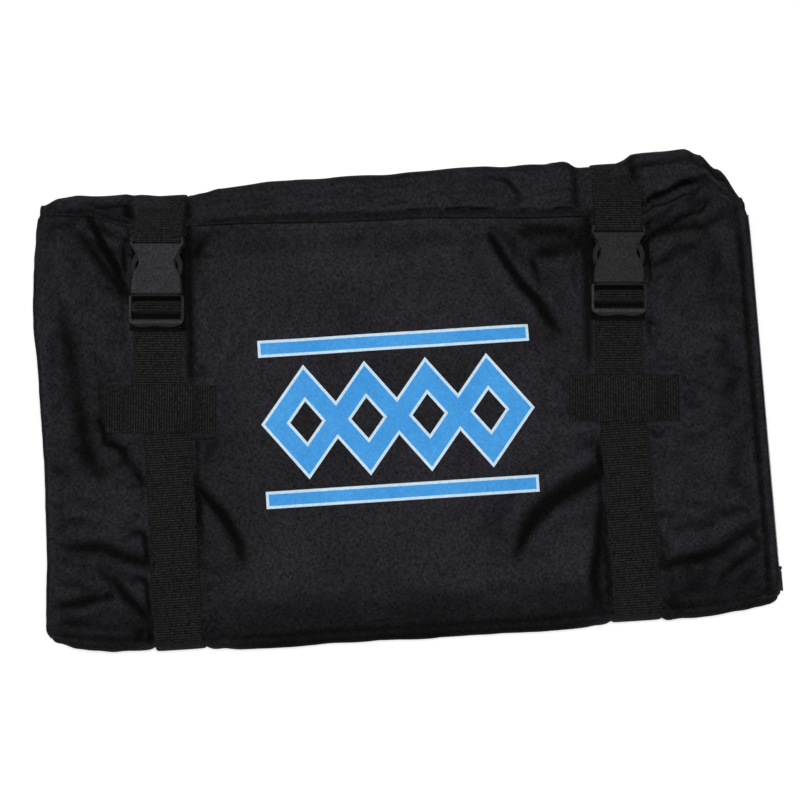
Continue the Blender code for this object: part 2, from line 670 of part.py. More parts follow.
def add_plug(side, place, carrier):
    """Make the plug: the ladder frame that the strap threads, its shoulder and its guide."""
    edges = frame_edges()
    top = edges["top"]
    bottom = edges["bottom"]
    half = FRAME_WIDTH / 2
    slot = STRAP_SLOT_WIDTH / 2
    corner = FRAME_CORNER
    frame = [
        (-half, top - corner),
        (-half + corner, top),
        (half - corner, top),
        (half, top - corner),
        (half, bottom + 2 * corner),
        (half - 2 * corner, bottom, "round"),
        (0, bottom - FRAME_BOTTOM_BOW, "round"),
        (-half + 2 * corner, bottom, "round"),
        (-half, bottom + 2 * corner),
    ]
    slots = [
        [(-slot, low), (slot, low), (slot, high), (-slot, high)]
        for low, high in (
            (edges["bar_high"], edges["inner"]),
            (edges["outer"], edges["bar_low"]),
        )
    ]
    mesh = plate_mesh([frame, *slots], FRAME_THICKNESS)
    plug = add_part(side + "_plug", mesh, PLASTIC, place, BUCKLE_TILT, carrier)
    add_bevel(plug, FRAME_EDGE_ROUND)
    for low, high in ((FRAME_BAR_HEIGHT / 2, half), (-half, -FRAME_BAR_HEIGHT / 2)):
        cut_box(plug, (-slot, edges["bar_low"] - MM, low), (slot, edges["bar_high"] + MM, high))
    height = CAVITY_HALF_HEIGHT - TONGUE_CLEARANCE
    combine(plug, plate_mesh([tongue_outline(top)], 2 * height), "UNION")
    shade_smooth(plug)


def tongue_outline(top):
    """Outline of the plug's shoulder in the socket's mouth and of its guide between the arms."""
    shoulder = CAVITY_HALF_WIDTH - TONGUE_CLEARANCE
    guide = GUIDE_WIDTH / 2
    half = [
        (shoulder, top - FRAME_TOP_BAR / 2),
        (shoulder, SHOULDER_DEPTH),
        (guide + GUIDE_ROOT, SHOULDER_DEPTH),
        (guide, SHOULDER_DEPTH + GUIDE_ROOT_LENGTH),
        (guide - GUIDE_DRAFT, GUIDE_LENGTH - GUIDE_TIP),
        (guide - GUIDE_TIP_IN, GUIDE_LENGTH),
    ]
    return half + [(-x, y) for x, y in reversed(half)]


def arm_outline():
    """Outline of a right arm about its pivot: round root, barb, grip pad and tip."""
    root = ARM_ROOT_RADIUS
    barb_y = WINDOW_START + SEAT_GAP - ARM_PIVOT_Y
    barb_x = BARB_REACH - ARM_PIVOT_X
    tip_y = ARM_TIP_AT - ARM_PIVOT_Y
    pad_x = PAD_REACH - ARM_PIVOT_X
    inside = CAVITY_HALF_WIDTH - TONGUE_CLEARANCE - ARM_PIVOT_X
    round_root = arc((0, 0), root, 180, 360, 6)
    return [
        *round_root,
        (inside - ARM_WAIST_IN, barb_y / 2, "round"),
        (inside, barb_y),
        (barb_x, barb_y),
        (pad_x, PAD_AT * tip_y, "round"),
        (pad_x - PAD_END_IN, PAD_END_AT * tip_y, "round"),
        (inside - ARM_TIP_IN, tip_y, "round"),
        (inside - ARM_WIDTH, TIP_BACK_AT * tip_y, "round"),
        (pad_x - ARM_WIDTH - ARM_BACK_SPREAD, PAD_AT * tip_y, "round"),
        (inside - ARM_WIDTH + ARM_BACK_SPREAD, ARM_BACK_AT * tip_y, "round"),
    ]


def add_arm(side, hand, place, run):
    """Make one spring arm of the plug, turning on the root where it joins the shoulder."""
    sign = 1 if hand == "right" else -1
    outline = [(sign * point[0], *point[1:]) for point in arm_outline()]
    offset = Vector((sign * ARM_PIVOT_X, ARM_PIVOT_Y, 0))
    offset.rotate(Euler((0, 0, BUCKLE_TILT)))
    name = side + "_plug_" + hand + "_arm"
    pivot = empty_at(name + "_pivot", place + offset, run)
    height = 2 * (CAVITY_HALF_HEIGHT - TONGUE_CLEARANCE)
    mesh = plate_mesh([outline], height, 4)
    arm = add_part(name, mesh, PLASTIC, place + offset, BUCKLE_TILT, pivot)
    add_bevel(arm, ARM_EDGE_ROUND, 1)
    shade_smooth(arm)


def add_buckle(side, strap_x, mouth, flap_hinge):
    """Make one strap set: back, lower, adjusting and upper straps, keeper and buckle."""
    keeper_y = mouth[1] - KEEPER_BELOW_MOUTH * math.cos(BUCKLE_TILT)
    add_back_strap(side, strap_x)
    add_lower_strap(side, strap_x, keeper_y, flap_hinge)
    keeper_x = mouth[0] + KEEPER_BELOW_MOUTH * math.sin(BUCKLE_TILT) + KEEPER_OFFSET
    keeper_place = (keeper_x, keeper_y, 0)
    name = side + "_keeper"
    add_ribbon(name, keeper_stations(), WEBBING, STRAP, keeper_place, BUCKLE_TILT, flap_hinge)
    place = Vector((mouth[0], mouth[1], BUCKLE_Z))
    half = WEBBING_WIDTH / 2
    adjuster = across_x(adjuster_path(), -half, half)
    name = side + "_adjusting_strap"
    add_ribbon(name, adjuster, WEBBING, STRAP, place, BUCKLE_TILT, flap_hinge)
    run = empty_at(side + "_plug_run", place, flap_hinge)
    add_plug(side, place, run)
    for hand in ("left", "right"):
        add_arm(side, hand, place, run)
    crest = Vector((mouth[0], TOP_FOLD_Y, TOP_FOLD_Z + TOP_FOLD_RADIUS + STRAP_LIFT))
    swing = empty_at(side + "_tether_swing", crest)
    add_socket(side, place, swing)
    add_ribbon(side + "_upper_strap", upper_strap_stations(mouth), WEBBING, STRAP, carrier=swing)


def add_print(flap_hinge):
    """Make the print: two crossing zigzags that enclose diamonds, and a line above and below."""
    half_width = PRINT_WIDTH / 2
    swing = PRINT_HEIGHT / 2 - PRINT_LINE - PRINT_BAND
    step = PRINT_WIDTH / PRINT_DIAMONDS
    thickness = PRINT_THICKNESS
    place = (*PRINT_CENTRE, FLAP_TOP + SEAT_GAP + thickness / 2)
    slope = 2 * (swing - PRINT_BAND / 2) / step
    rise = PRINT_BAND / 2 * math.sqrt(1 + slope * slope)
    bands = []
    for sign in (1, -1):
        centre = []
        for i in range(2 * PRINT_DIAMONDS + 1):
            height = 0 if i % 2 == 0 else sign * (1 if i % 4 == 1 else -1) * (swing - rise)
            centre.append((-half_width + i * step / 2, height))
        bands.append(centre)
    meshes = []
    for centre in bands:
        corners = centre[1:-1:2]
        upper = [centre[0], *corners, centre[-1]]
        outline = [(x, y + rise) for x, y in upper]
        outline += [(x, y - rise) for x, y in reversed(upper)]
        meshes.append(plate_mesh([outline], thickness))
    lattice = add_part("print_lattice", meshes[0], PRINT, place, carrier=flap_hinge)
    combine(lattice, meshes[1], "UNION")
    for name, sign in (("upper", 1), ("lower", -1)):
        y = sign * (PRINT_HEIGHT - PRINT_LINE) / 2
        line = [
            (-half_width, y - PRINT_LINE / 2),
            (half_width, y - PRINT_LINE / 2),
            (half_width, y + PRINT_LINE / 2),
            (-half_width, y + PRINT_LINE / 2),
        ]
        mesh = plate_mesh([line], thickness)
        add_part("print_" + name + "_line", mesh, PRINT, place, carrier=flap_hinge)


def build():
    """Build the folded bag."""
    flap_hinge = empty_at("flap_hinge", HINGE_POINT)
    add_walls(flap_hinge)
    add_side_strips(flap_hinge)
    add_hem_tapes(flap_hinge)
    add_zip_slider()
    add_buckle("left", LEFT_STRAP_X, LEFT_MOUTH, flap_hinge)
    add_buckle("right", RIGHT_STRAP_X, RIGHT_MOUTH, flap_hinge)
    add_print(flap_hinge)


build()
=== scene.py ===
# %% [markdown]
# # A padded bike bag, folded in three
#
# The bag lies folded like a letter, with its flap up, and two webbing straps with side-release
# buckles hold it shut. The hard parts (sockets, plugs, zip slider) come ready made from the packed
# model. This lesson makes everything soft around them: padded cloth, webbing, zip, stitching, print.
#
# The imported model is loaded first, because every size and place below is read from it.

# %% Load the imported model
import math

import bmesh
import bpy
import numpy as np
from mathutils import Matrix, Vector


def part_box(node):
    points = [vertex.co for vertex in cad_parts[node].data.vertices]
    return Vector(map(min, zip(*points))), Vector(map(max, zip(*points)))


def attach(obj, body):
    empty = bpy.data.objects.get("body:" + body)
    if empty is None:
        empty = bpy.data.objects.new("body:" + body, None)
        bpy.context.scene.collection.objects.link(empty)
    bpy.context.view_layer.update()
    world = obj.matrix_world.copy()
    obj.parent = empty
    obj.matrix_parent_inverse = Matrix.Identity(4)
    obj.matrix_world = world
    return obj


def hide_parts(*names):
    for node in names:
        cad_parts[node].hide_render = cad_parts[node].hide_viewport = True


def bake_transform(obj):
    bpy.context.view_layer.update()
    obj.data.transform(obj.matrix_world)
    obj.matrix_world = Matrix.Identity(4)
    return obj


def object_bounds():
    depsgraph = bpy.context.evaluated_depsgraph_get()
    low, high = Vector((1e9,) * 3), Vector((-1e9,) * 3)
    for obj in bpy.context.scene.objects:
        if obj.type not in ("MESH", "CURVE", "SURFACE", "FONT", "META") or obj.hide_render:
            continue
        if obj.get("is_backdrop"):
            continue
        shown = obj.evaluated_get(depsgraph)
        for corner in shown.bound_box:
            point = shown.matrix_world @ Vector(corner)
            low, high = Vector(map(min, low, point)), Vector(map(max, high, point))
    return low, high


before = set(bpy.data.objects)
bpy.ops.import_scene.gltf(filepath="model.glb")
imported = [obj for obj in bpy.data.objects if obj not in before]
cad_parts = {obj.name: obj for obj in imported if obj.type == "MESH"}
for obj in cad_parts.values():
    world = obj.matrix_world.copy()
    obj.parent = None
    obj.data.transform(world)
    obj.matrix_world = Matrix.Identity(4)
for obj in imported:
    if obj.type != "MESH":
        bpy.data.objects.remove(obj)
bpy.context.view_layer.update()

# %% [markdown]
# ## Sizes
#
# A folded bag is a stack: the rear section on the table, the middle section turned back over it at
# the top fold, and the flap turned over both at the bottom fold. Each section has an outer and an
# inner padded wall. Their faces, folds and ends are read from the boxes of the model's nodes.

# %% Read the sizes of the stack
MM = 0.001


def corners(node):
    """Lowest and highest corner of a node, as arrays."""
    low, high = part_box(node)
    return np.array(low), np.array(high)


flap_low, flap_high = corners("flap_outer_wall")
shell_low, shell_high = corners("outer_wall")
bend_low = corners("fold_outer_wall")[0]
lining_low, lining_high = corners("flap_inner_wall")

WALL = flap_high[2] - flap_low[2]
LAYER = flap_high[2] - lining_high[2]
POUCH = flap_high[2] - lining_low[2]
FLAP_TOP = flap_high[2]
FLOOR = shell_low[2]
MIDDLE_TOP = shell_high[2]
LEFT = flap_low[0]
RIGHT = flap_high[0]
HEM = flap_high[1]
TOP_RADIUS = (MIDDLE_TOP - FLOOR) / 2
TOP_CENTRE = (shell_high[1] - TOP_RADIUS, FLOOR + TOP_RADIUS)
BOTTOM_RADIUS = (FLAP_TOP - FLOOR) / 2
BOTTOM_CENTRE = (bend_low[1] + BOTTOM_RADIUS, FLOOR + BOTTOM_RADIUS)
MIDDLE_END = corners("middle_hem_tape")[1][1]
SEAM = flap_low[1] + 12 * MM
LEAN = math.radians(3.7)
SIDES = ("left", "right")
print("wall", round(WALL / MM, 2), "mm, flap from", round(SEAM, 4), "to", round(HEM, 4))

# %% [markdown]
# ## Small tools
#
# Cloth is easiest to shape as a grid of points: one direction runs across the bag, the other along
# it, and every bulge or fold is a change to whole arrays. Three tools are used all through: an
# ease curve, a smooth random field, and a resampling matrix that turns a coarse grid into a fine one.

# %% Ease, fields and resampling
ALONG_X = np.array([1.0, 0.0, 0.0])
UP = np.array([0.0, 0.0, 1.0])


def ease(value):
    """Smooth step from 0 to 1: t * t * (3 - 2 t), flat outside."""
    t = np.clip(value, 0.0, 1.0)
    return t * t * (3 - 2 * t)


def field(x, y, size, seed, waves=14):
    """A smooth random field in about -1 to 1: a sum of sines of one length in random directions."""
    random = np.random.default_rng(seed)
    total = np.zeros(np.broadcast(x, y).shape)
    for _ in range(waves):
        heading = random.uniform(0, math.tau)
        length = size * random.uniform(0.7, 1.5)
        phase = random.uniform(0, math.tau)
        along = np.cos(heading) * x + np.sin(heading) * y
        total = total + np.sin(math.tau * along / length + phase)
    return total / math.sqrt(waves * 2)


def through(points, values):
    """Read a drawn edge: smooth steps between (place, amount) pairs given in millimetres."""
    places, amounts = np.array(points, float).T * MM
    index = np.clip(np.searchsorted(places, values) - 1, 0, len(places) - 2)
    share = ease((values - places[index]) / (places[index + 1] - places[index]))
    return amounts[index] * (1 - share) + amounts[index + 1] * share


def resampler(coarse, fine):
    """Matrix that reads a coarse row at fine places with a Catmull-Rom cubic."""
    place = np.interp(fine, coarse, np.arange(len(coarse)))
    first = np.minimum(place.astype(int), len(coarse) - 2)
    t = place - first
    weights = [
        -0.5 * t + t**2 - 0.5 * t**3,
        1 - 2.5 * t**2 + 1.5 * t**3,
        0.5 * t + 2 * t**2 - 1.5 * t**3,
        -0.5 * t**2 + 0.5 * t**3,
    ]
    matrix = np.zeros((len(fine), len(coarse)))
    for k, weight in enumerate(weights):
        column = np.clip(first + k - 1, 0, len(coarse) - 1)
        np.add.at(matrix, (np.arange(len(fine)), column), weight)
    return matrix


def unit(vectors, least=0.0):
    """Vectors scaled to length 1."""
    return vectors / np.maximum(np.linalg.norm(vectors, axis=-1, keepdims=True), least)


def travel(points):
    """Distance along a row of points, 0 at the first."""
    return np.concatenate([[0], np.cumsum(np.linalg.norm(np.diff(points, axis=0), axis=1))])


def grid_of(across, along):
    """A grid of pairs from places across and places along."""
    return np.stack(np.broadcast_arrays(across[None, :], along[:, None]), axis=-1)


def grid_faces(rows, columns):
    """Quads of a grid of points, one row of points after the other."""
    index = np.arange(rows * columns).reshape(rows, columns)
    quads = [index[:-1, :-1], index[:-1, 1:], index[1:, 1:], index[1:, :-1]]
    return np.stack(quads, axis=-1).reshape(-1, 4)


# %% [markdown]
# Arrays of points and faces become objects here. Each cloth piece gets a map in metres, so that its
# weave has the right size, and an amount of dust and painted shade at every point, which its material
# reads.

# %% Put points and faces into an object
# The plain amount of dust and painted shade, for pieces and faces that have none worked out.
PLAIN_DUST_AND_SHADE = 0.75


def to_scene(name, data):
    """Make an object of a mesh, a lamp or a camera, and link it to the scene."""
    made = bpy.data.objects.new(name, data)
    bpy.context.scene.collection.objects.link(made)
    return made


def mesh_of(name, points, faces, dust_and_shade=None):
    """Make a mesh from arrays, with the amount of dust and painted shade at each point if there is any."""
    mesh = bpy.data.meshes.new(name)
    mesh.from_pydata(points.reshape(-1, 3).tolist(), [], faces)
    if dust_and_shade is not None:
        amount = np.broadcast_to(dust_and_shade, len(mesh.vertices)).astype(np.float32)
        mesh.attributes.new("dust_and_shade", "FLOAT", "POINT").data.foreach_set("value", amount)
    return mesh


def new_piece(name, points, faces, uv, merge=0.0, dust_and_shade=PLAIN_DUST_AND_SHADE):
    """Make a mesh object from arrays: faces pointing out, UV map in metres, and dust and painted shade at
    each point.
    """
    mesh = mesh_of(name, points, faces.tolist(), dust_and_shade)
    loops = np.zeros(len(mesh.loops), np.int32)
    mesh.loops.foreach_get("vertex_index", loops)
    layer = mesh.uv_layers.new(name="cloth")
    layer.data.foreach_set("uv", uv.reshape(-1, 2)[loops].astype(np.float32).ravel())
    shape = bmesh.new()
    shape.from_mesh(mesh)
    if merge:
        bmesh.ops.remove_doubles(shape, verts=shape.verts, dist=merge)
        bmesh.ops.dissolve_degenerate(shape, edges=shape.edges, dist=merge / 4)
    bmesh.ops.recalc_face_normals(shape, faces=shape.faces)
    shape.to_mesh(mesh)
    shape.free()
    mesh.shade_smooth()
    return to_scene(name, mesh)


def close_pair(name, outer, inner, uv, dust_and_shade=None, both=False):
    """Join two grids with the same outline into one closed body: two faces and a rim of quads.

    The amount of dust and painted shade given is for the outer face, or for both; a hidden inner face has
    the plain amount.
    """
    rows, columns = outer.shape[:2]
    quads = grid_faces(rows, columns)
    count = rows * columns
    index = np.arange(count).reshape(rows, columns)
    loop = np.concatenate([index[0, :-1], index[:-1, -1], index[-1, :0:-1], index[:0:-1, 0]])
    after = np.roll(loop, -1)
    rim = np.stack([loop, loop + count, after + count, after], axis=1)
    faces = np.concatenate([quads, quads[:, ::-1] + count, rim])
    points = np.concatenate([outer.reshape(-1, 3), inner.reshape(-1, 3)])
    plain = np.full(count, PLAIN_DUST_AND_SHADE)
    shown = plain if dust_and_shade is None else dust_and_shade.ravel()
    dust_and_shade = np.concatenate([shown, shown if both else plain])
    return new_piece(name, points, faces, np.concatenate([uv.reshape(-1, 2)] * 2), 0.02 * MM, dust_and_shade)


# %% [markdown]
# ## Materials
#
# Black cloth, black webbing and black plastic differ in how they catch light, not in hue. The cloth
# is a coated oxford: a fine plain weave with a soft sheen, a little mottled. The webbing is matt and
# ribbed. The mouldings have a fine satin grain. Effects that several of them share are node groups,
# built once, that give out a height or a mask.

# %% Short calls for building node trees


def put(tree, socket, value):
    """Link a node's output to a socket, or else set the socket's own value."""
    if isinstance(value, bpy.types.NodeSocket):
        tree.links.new(value, socket)
    else:
        socket.default_value = value


def fill(tree, node, **inputs):
    """Put values or links into a node's named inputs."""
    for key, value in inputs.items():
        put(tree, node.inputs[key.replace("_", " ")], value)
    return node


def add_node(tree, kind, settings=None, **inputs):
    """Add a shader node, set its properties and fill its inputs."""
    node = tree.nodes.new("ShaderNode" + kind)
    for key, value in (settings or {}).items():
        setattr(node, key, value)
    return fill(tree, node, **inputs)


def calc(tree, operation, *values):
    """Add a Math node and return its result."""
    node = add_node(tree, "Math", {"operation": operation})
    for socket, value in zip(node.inputs, values):
        put(tree, socket, value)
    return node.outputs[0]


def times(tree, a, b):
    """Product of two values."""
    return calc(tree, "MULTIPLY", a, b)


def bulges(tree, turns):
    """The height of round threads side by side: |sin(pi * turns)|."""
    return calc(tree, "ABSOLUTE", calc(tree, "SINE", times(tree, turns, math.pi)))


def odd(tree, number):
    """1 for odd whole numbers and 0 for even ones."""
    return calc(tree, "PINGPONG", number, 1.0)


def noise(tree, place, scale, detail):
    """Noise of a size at a place."""
    return add_node(tree, "TexNoise", Vector=place, Scale=scale, Detail=detail).outputs[0]


def remap(tree, value, low, high, start=0.0, stop=1.0):
    """Stretch a value's range, 0 to 1 or another, to the range from low to high."""
    ranges = {"From_Min": start, "From_Max": stop, "To_Min": low, "To_Max": high}
    return add_node(tree, "MapRange", Value=value, **ranges).outputs[0]


def bump(tree, strength, distance, height):
    """The normal that a height gives."""
    return add_node(tree, "Bump", Strength=strength, Distance=distance, Height=height).outputs[0]


def blend_colours(tree, low, high, factor, mode="MIX"):
    """A Mix node for colours: both ends are plain colours or links."""
    node = add_node(tree, "Mix", {"data_type": "RGBA", "blend_type": mode}, Factor=factor)
    for socket, value in ((node.inputs[6], low), (node.inputs[7], high)):
        put(tree, socket, (*value, 1) if isinstance(value, tuple) else value)
    return node.outputs[2]


def darken(tree, colour, shade):
    """A colour multiplied by a grey value."""
    return blend_colours(tree, colour, shade, 1.0, "MULTIPLY")


def new_group(name, inputs, outputs):
    """Make a node group with named sockets, and return it with its input and output nodes."""
    group = bpy.data.node_groups.new(name, "ShaderNodeTree")
    for label, kind in inputs.items():
        group.interface.new_socket(label, in_out="INPUT", socket_type="NodeSocket" + kind)
    for label in outputs:
        group.interface.new_socket(label, in_out="OUTPUT", socket_type="NodeSocketFloat")
    return group, group.nodes.new("NodeGroupInput"), group.nodes.new("NodeGroupOutput")


def use_group(tree, group, **inputs):
    """Place a node group in a material and set or link its inputs."""
    return add_node(tree, "Group", {"node_tree": group}, **inputs)


# %% [markdown]
# ### The weave
#
# In a plain weave a warp thread passes over one weft thread and under the next. Over one cell of the
# pattern the height is the bulge of whichever thread is on top, so the group adds the cell numbers of
# both directions and lets odd and even cells pick the thread. Real threads are never equally thick or
# dark, so each has a tone of its own, which is what makes black cloth look like cloth from afar.
# Webbing is woven too, but its weft cords are thick and show as ribs, so it has its own group.

# %% Groups for the weave, the webbing, patches and lint
SLUB = 0.56
NEXT_THREAD = 1.7


def make_weave():
    """Height: |sin| across the thread on top, picked by the cell's parity. Tone: strokes of noise.

    The strokes are as wide as 1 / SLUB threads and run both ways; odd and even cells favour one way.
    """
    group, source, result = new_group(
        "plain_weave", {"Place": "Vector", "Threads": "Float"}, ("Height", "Tone")
    )
    place = add_node(group, "SeparateXYZ", Vector=source.outputs["Place"])
    across = times(group, place.outputs["X"], source.outputs["Threads"])
    along = times(group, place.outputs["Y"], source.outputs["Threads"])
    parity = odd(group, calc(group, "ADD", calc(group, "FLOOR", across), calc(group, "FLOOR", along)))
    warp = times(group, bulges(group, across), parity)
    weft = times(group, bulges(group, along), calc(group, "SUBTRACT", 1.0, parity))
    column, row = times(group, across, SLUB), times(group, along, SLUB)
    tones = []
    for thread, length in ((column, row), (row, column)):
        own = times(group, calc(group, "FLOOR", thread), NEXT_THREAD)
        spot = add_node(group, "CombineXYZ", X=own, Y=times(group, length, 0.5), Z=float(len(tones)))
        tones.append(noise(group, spot.outputs[0], 1.0, 0.0))
    cell = odd(group, calc(group, "ADD", calc(group, "FLOOR", column), calc(group, "FLOOR", row)))
    upper = times(group, tones[0], calc(group, "MULTIPLY_ADD", cell, 0.5, 0.25))
    lower = times(group, tones[1], calc(group, "MULTIPLY_ADD", cell, -0.5, 0.75))
    tone = remap(group, calc(group, "ADD", upper, lower), 0.0, 1.0, 0.25, 0.75)
    fill(group, result, Height=calc(group, "ADD", warp, weft), Tone=tone)
    return group


def make_webbing_yarns():
    """Cord: 0.5 + 0.5 cos along the ribs. Yarn: |sin| of the fine yarns across, shifted every rib.

    Tone is noise, part of it in dashes along each cord, because webbing never lies quite even.
    """
    sizes = {"Place": "Vector", "Pitch": "Float", "Yarn Width": "Float"}
    group, source, result = new_group("webbing_yarns", sizes, ("Cord", "Yarn", "Height", "Tone"))
    place = add_node(group, "SeparateXYZ", Vector=source.outputs["Place"])
    turns = calc(group, "DIVIDE", place.outputs["Y"], source.outputs["Pitch"])
    across = calc(group, "DIVIDE", place.outputs["X"], source.outputs["Yarn Width"])
    rib = calc(group, "ROUND", turns)
    cord = calc(group, "MULTIPLY_ADD", calc(group, "COSINE", times(group, turns, math.tau)), 0.5, 0.5)
    yarn = bulges(group, calc(group, "MULTIPLY_ADD", odd(group, rib), 0.5, across))
    patch = add_node(group, "CombineXYZ", X=times(group, across, 0.55), Y=turns)
    dash = add_node(group, "CombineXYZ", X=times(group, across, 0.6), Y=times(group, rib, NEXT_THREAD))
    rough = noise(group, patch.outputs[0], 1.6, 1.0)
    both = times(group, calc(group, "ADD", rough, noise(group, dash.outputs[0], 1.0, 0.0)), 0.5)
    height = calc(group, "ADD", times(group, cord, 0.5), times(group, yarn, 0.5))
    fill(group, result, Cord=cord, Yarn=yarn, Height=height, Tone=remap(group, both, 0.0, 1.0, 0.3, 0.7))
    return group


def make_mottle():
    """A slow patchy mask from two sizes of noise, for cloth that isn't evenly dyed or lit."""
    group, source, result = new_group("mottle", {"Place": "Vector", "Size": "Float"}, ("Mask",))
    scale = calc(group, "DIVIDE", 1.0, source.outputs["Size"])
    broad = noise(group, source.outputs["Place"], scale, 3.0)
    small = noise(group, source.outputs["Place"], times(group, scale, 6.0), 2.0)
    mixed = calc(group, "ADD", broad, times(group, small, 0.45))
    fill(group, result, Mask=remap(group, mixed, 0.0, 1.0, 0.5, 0.95))
    return group


def make_lint():
    """Sparse pale specks and short fibres of dust: the peaks of a fine noise."""
    group, source, result = new_group("lint", {"Place": "Vector", "Amount": "Float"}, ("Mask",))
    peaks = noise(group, source.outputs["Place"], 900.0, 1.0)
    edge = calc(group, "SUBTRACT", 0.86, times(group, source.outputs["Amount"], 0.2))
    fill(group, result, Mask=calc(group, "GREATER_THAN", peaks, edge))
    return group


WEAVE = make_weave()
YARNS = make_webbing_yarns()
MOTTLE = make_mottle()
LINT = make_lint()
print("shared effects:", [g.name for g in (WEAVE, YARNS, MOTTLE, LINT)])

# %% [markdown]
# ### Cloth, webbing and thread
#
# The UV map of every cloth piece is in metres, so one thread count fits them all and the weave
# follows each fold. Each point carries an amount of dust and painted shade, worked out from the
# slope when the piece is made: level cloth is pale with lint and dust, and the steep walls of folds
# are painted near-black as shade. The colour runs from that painted shade to dusty by it.

# %% Cloth and webbing
SHADED_SHARE = 0.13
THREADS = 950.0
SHEEN = {"Sheen_Weight": 0.02, "Sheen_Roughness": 0.4, "Sheen_Tint": (0.80, 0.78, 0.86, 1)}
CLOTH_LINT = (0.05, 0.048, 0.052)
WEBBING_LINT = (0.05, 0.048, 0.05)
CORD_PITCH = 2.7 * MM
YARN_WIDTH = 1.5 * MM


def new_material(name):
    """Make a material and return it with its tree, its Principled shader and its coordinates."""
    material = bpy.data.materials.new(name)
    material.use_nodes = True
    tree = material.node_tree
    return material, tree, tree.nodes["Principled BSDF"], add_node(tree, "TexCoord").outputs


def make_cloth(name, dark, light, threads, roughness, gloss=0.02):
    """Woven cloth: thread tone, mottle and dust colour it, with painted shade between the threads and on
    steep walls; the weave's height also gives bump.
    """
    material, tree, shader, coords = new_material(name)
    weave = use_group(tree, WEAVE, Place=coords["UV"], Threads=threads).outputs
    patches = use_group(tree, MOTTLE, Place=coords["Object"], Size=0.16).outputs["Mask"]
    lint = use_group(tree, LINT, Place=coords["Object"], Amount=0.22).outputs["Mask"]
    dust_and_shade = add_node(tree, "Attribute", {"attribute_name": "dust_and_shade"}).outputs["Fac"]
    # Dust pales level cloth; a low amount pulls the colour to its dark end as painted shade.
    dyed_and_shaded = blend_colours(tree, dark, light, times(tree, remap(tree, patches, 0.25, 1.0), dust_and_shade))
    # Painted shade in the weave: the colour is darker where the threads are low, between them.
    gap_shade = remap(tree, weave["Height"], 0.45, 1.15)
    threads_shown = times(tree, gap_shade, remap(tree, weave["Tone"], 0.46, 1.54))
    # Painted shade: where the amount is low, the colour falls to a small share of itself, near-black on the
    # walls of folds.
    shaded = darken(tree, dyed_and_shaded, times(tree, remap(tree, dust_and_shade, SHADED_SHARE, 1.0), threads_shown))
    relief = calc(tree, "MULTIPLY_ADD", weave["Tone"], 0.6, weave["Height"])
    fill(
        tree,
        shader,
        Base_Color=blend_colours(tree, shaded, CLOTH_LINT, lint),
        Roughness=remap(tree, weave["Tone"], roughness + 0.16, roughness - 0.14),
        Normal=bump(tree, 0.6, 0.00022, relief),
        Specular_IOR_Level=gloss,
        **SHEEN,
    )
    return material


def make_webbing(name, dark, light):
    """Ribbed webbing: painted shade in the valleys of the ribs and yarns, fine yarns across them, a little
    dust, and painted shade where a run is given it.
    """
    material, tree, shader, coords = new_material(name)
    yarns = use_group(tree, YARNS, Place=coords["UV"], Pitch=CORD_PITCH, Yarn_Width=YARN_WIDTH).outputs
    patches = use_group(tree, MOTTLE, Place=coords["Object"], Size=0.05).outputs["Mask"]
    lint = use_group(tree, LINT, Place=coords["Object"], Amount=0.3).outputs["Mask"]
    dust_and_shade = add_node(tree, "Attribute", {"attribute_name": "dust_and_shade"}).outputs["Fac"]
    # Painted shade: darker in the valleys between the ribs and between the yarns.
    rib_shade = times(tree, remap(tree, yarns["Cord"], 0.35, 1.25), remap(tree, yarns["Yarn"], 0.65, 1.2))
    uneven = times(tree, rib_shade, remap(tree, yarns["Tone"], 0.25, 1.75))
    # Painted shade from the amount at each point, as in a buckle's slot; it takes away lint there too.
    shade_factor = remap(tree, dust_and_shade, SHADED_SHARE, 1.0)
    shaded = darken(tree, blend_colours(tree, dark, light, patches), times(tree, uneven, shade_factor))
    fill(
        tree,
        shader,
        Base_Color=blend_colours(tree, shaded, WEBBING_LINT, times(tree, lint, shade_factor)),
        Roughness=remap(tree, patches, 0.55, 0.72),
        Normal=bump(tree, 0.8, 0.0005, yarns["Height"]),
        Specular_IOR_Level=0.03,
        **SHEEN,
    )
    return material


OXFORD = make_cloth("oxford_cloth", (0.0152, 0.0150, 0.0158), (0.0255, 0.0242, 0.0312), THREADS, 0.62)
BINDING = make_cloth("binding_tape", (0.0125, 0.0122, 0.0133), (0.0180, 0.0176, 0.0190), 700.0, 0.66)
THREAD = make_cloth("sewing_thread", (0.017, 0.0165, 0.018), (0.024, 0.0235, 0.025), 2500.0, 0.55, 0.04)
WEBBING = make_webbing("ribbed_webbing", (0.0138, 0.0136, 0.0138), (0.0196, 0.0194, 0.0196))
print("soft materials:", [m.name for m in (OXFORD, BINDING, THREAD, WEBBING)])

# %% [markdown]
# ### Mouldings and print
#
# Buckles are moulded in acetal: satin, with a fine pitted grain that is paler on its peaks. The plug
# is coloured blacker than the sockets as painted shade, because it sits lower, and gets painted
# highlights along the outer edges of its frame and over the front rail. Those places are measured
# in the buckle's own frame, from its mouth.
# The print is a transfer film. It keeps the weave of the cloth below it, which is why it has the same
# bump, and its pale border is part of the film.

# %% Plastic and print materials
# Where the painted highlights lie on a plug's frame, measured along the buckle and across it.
RAIL = -29.9 * MM
RAIL_HALF = 1.6 * MM
FRAME_EDGE = 27.4 * MM
FRAME_END = -30.5 * MM


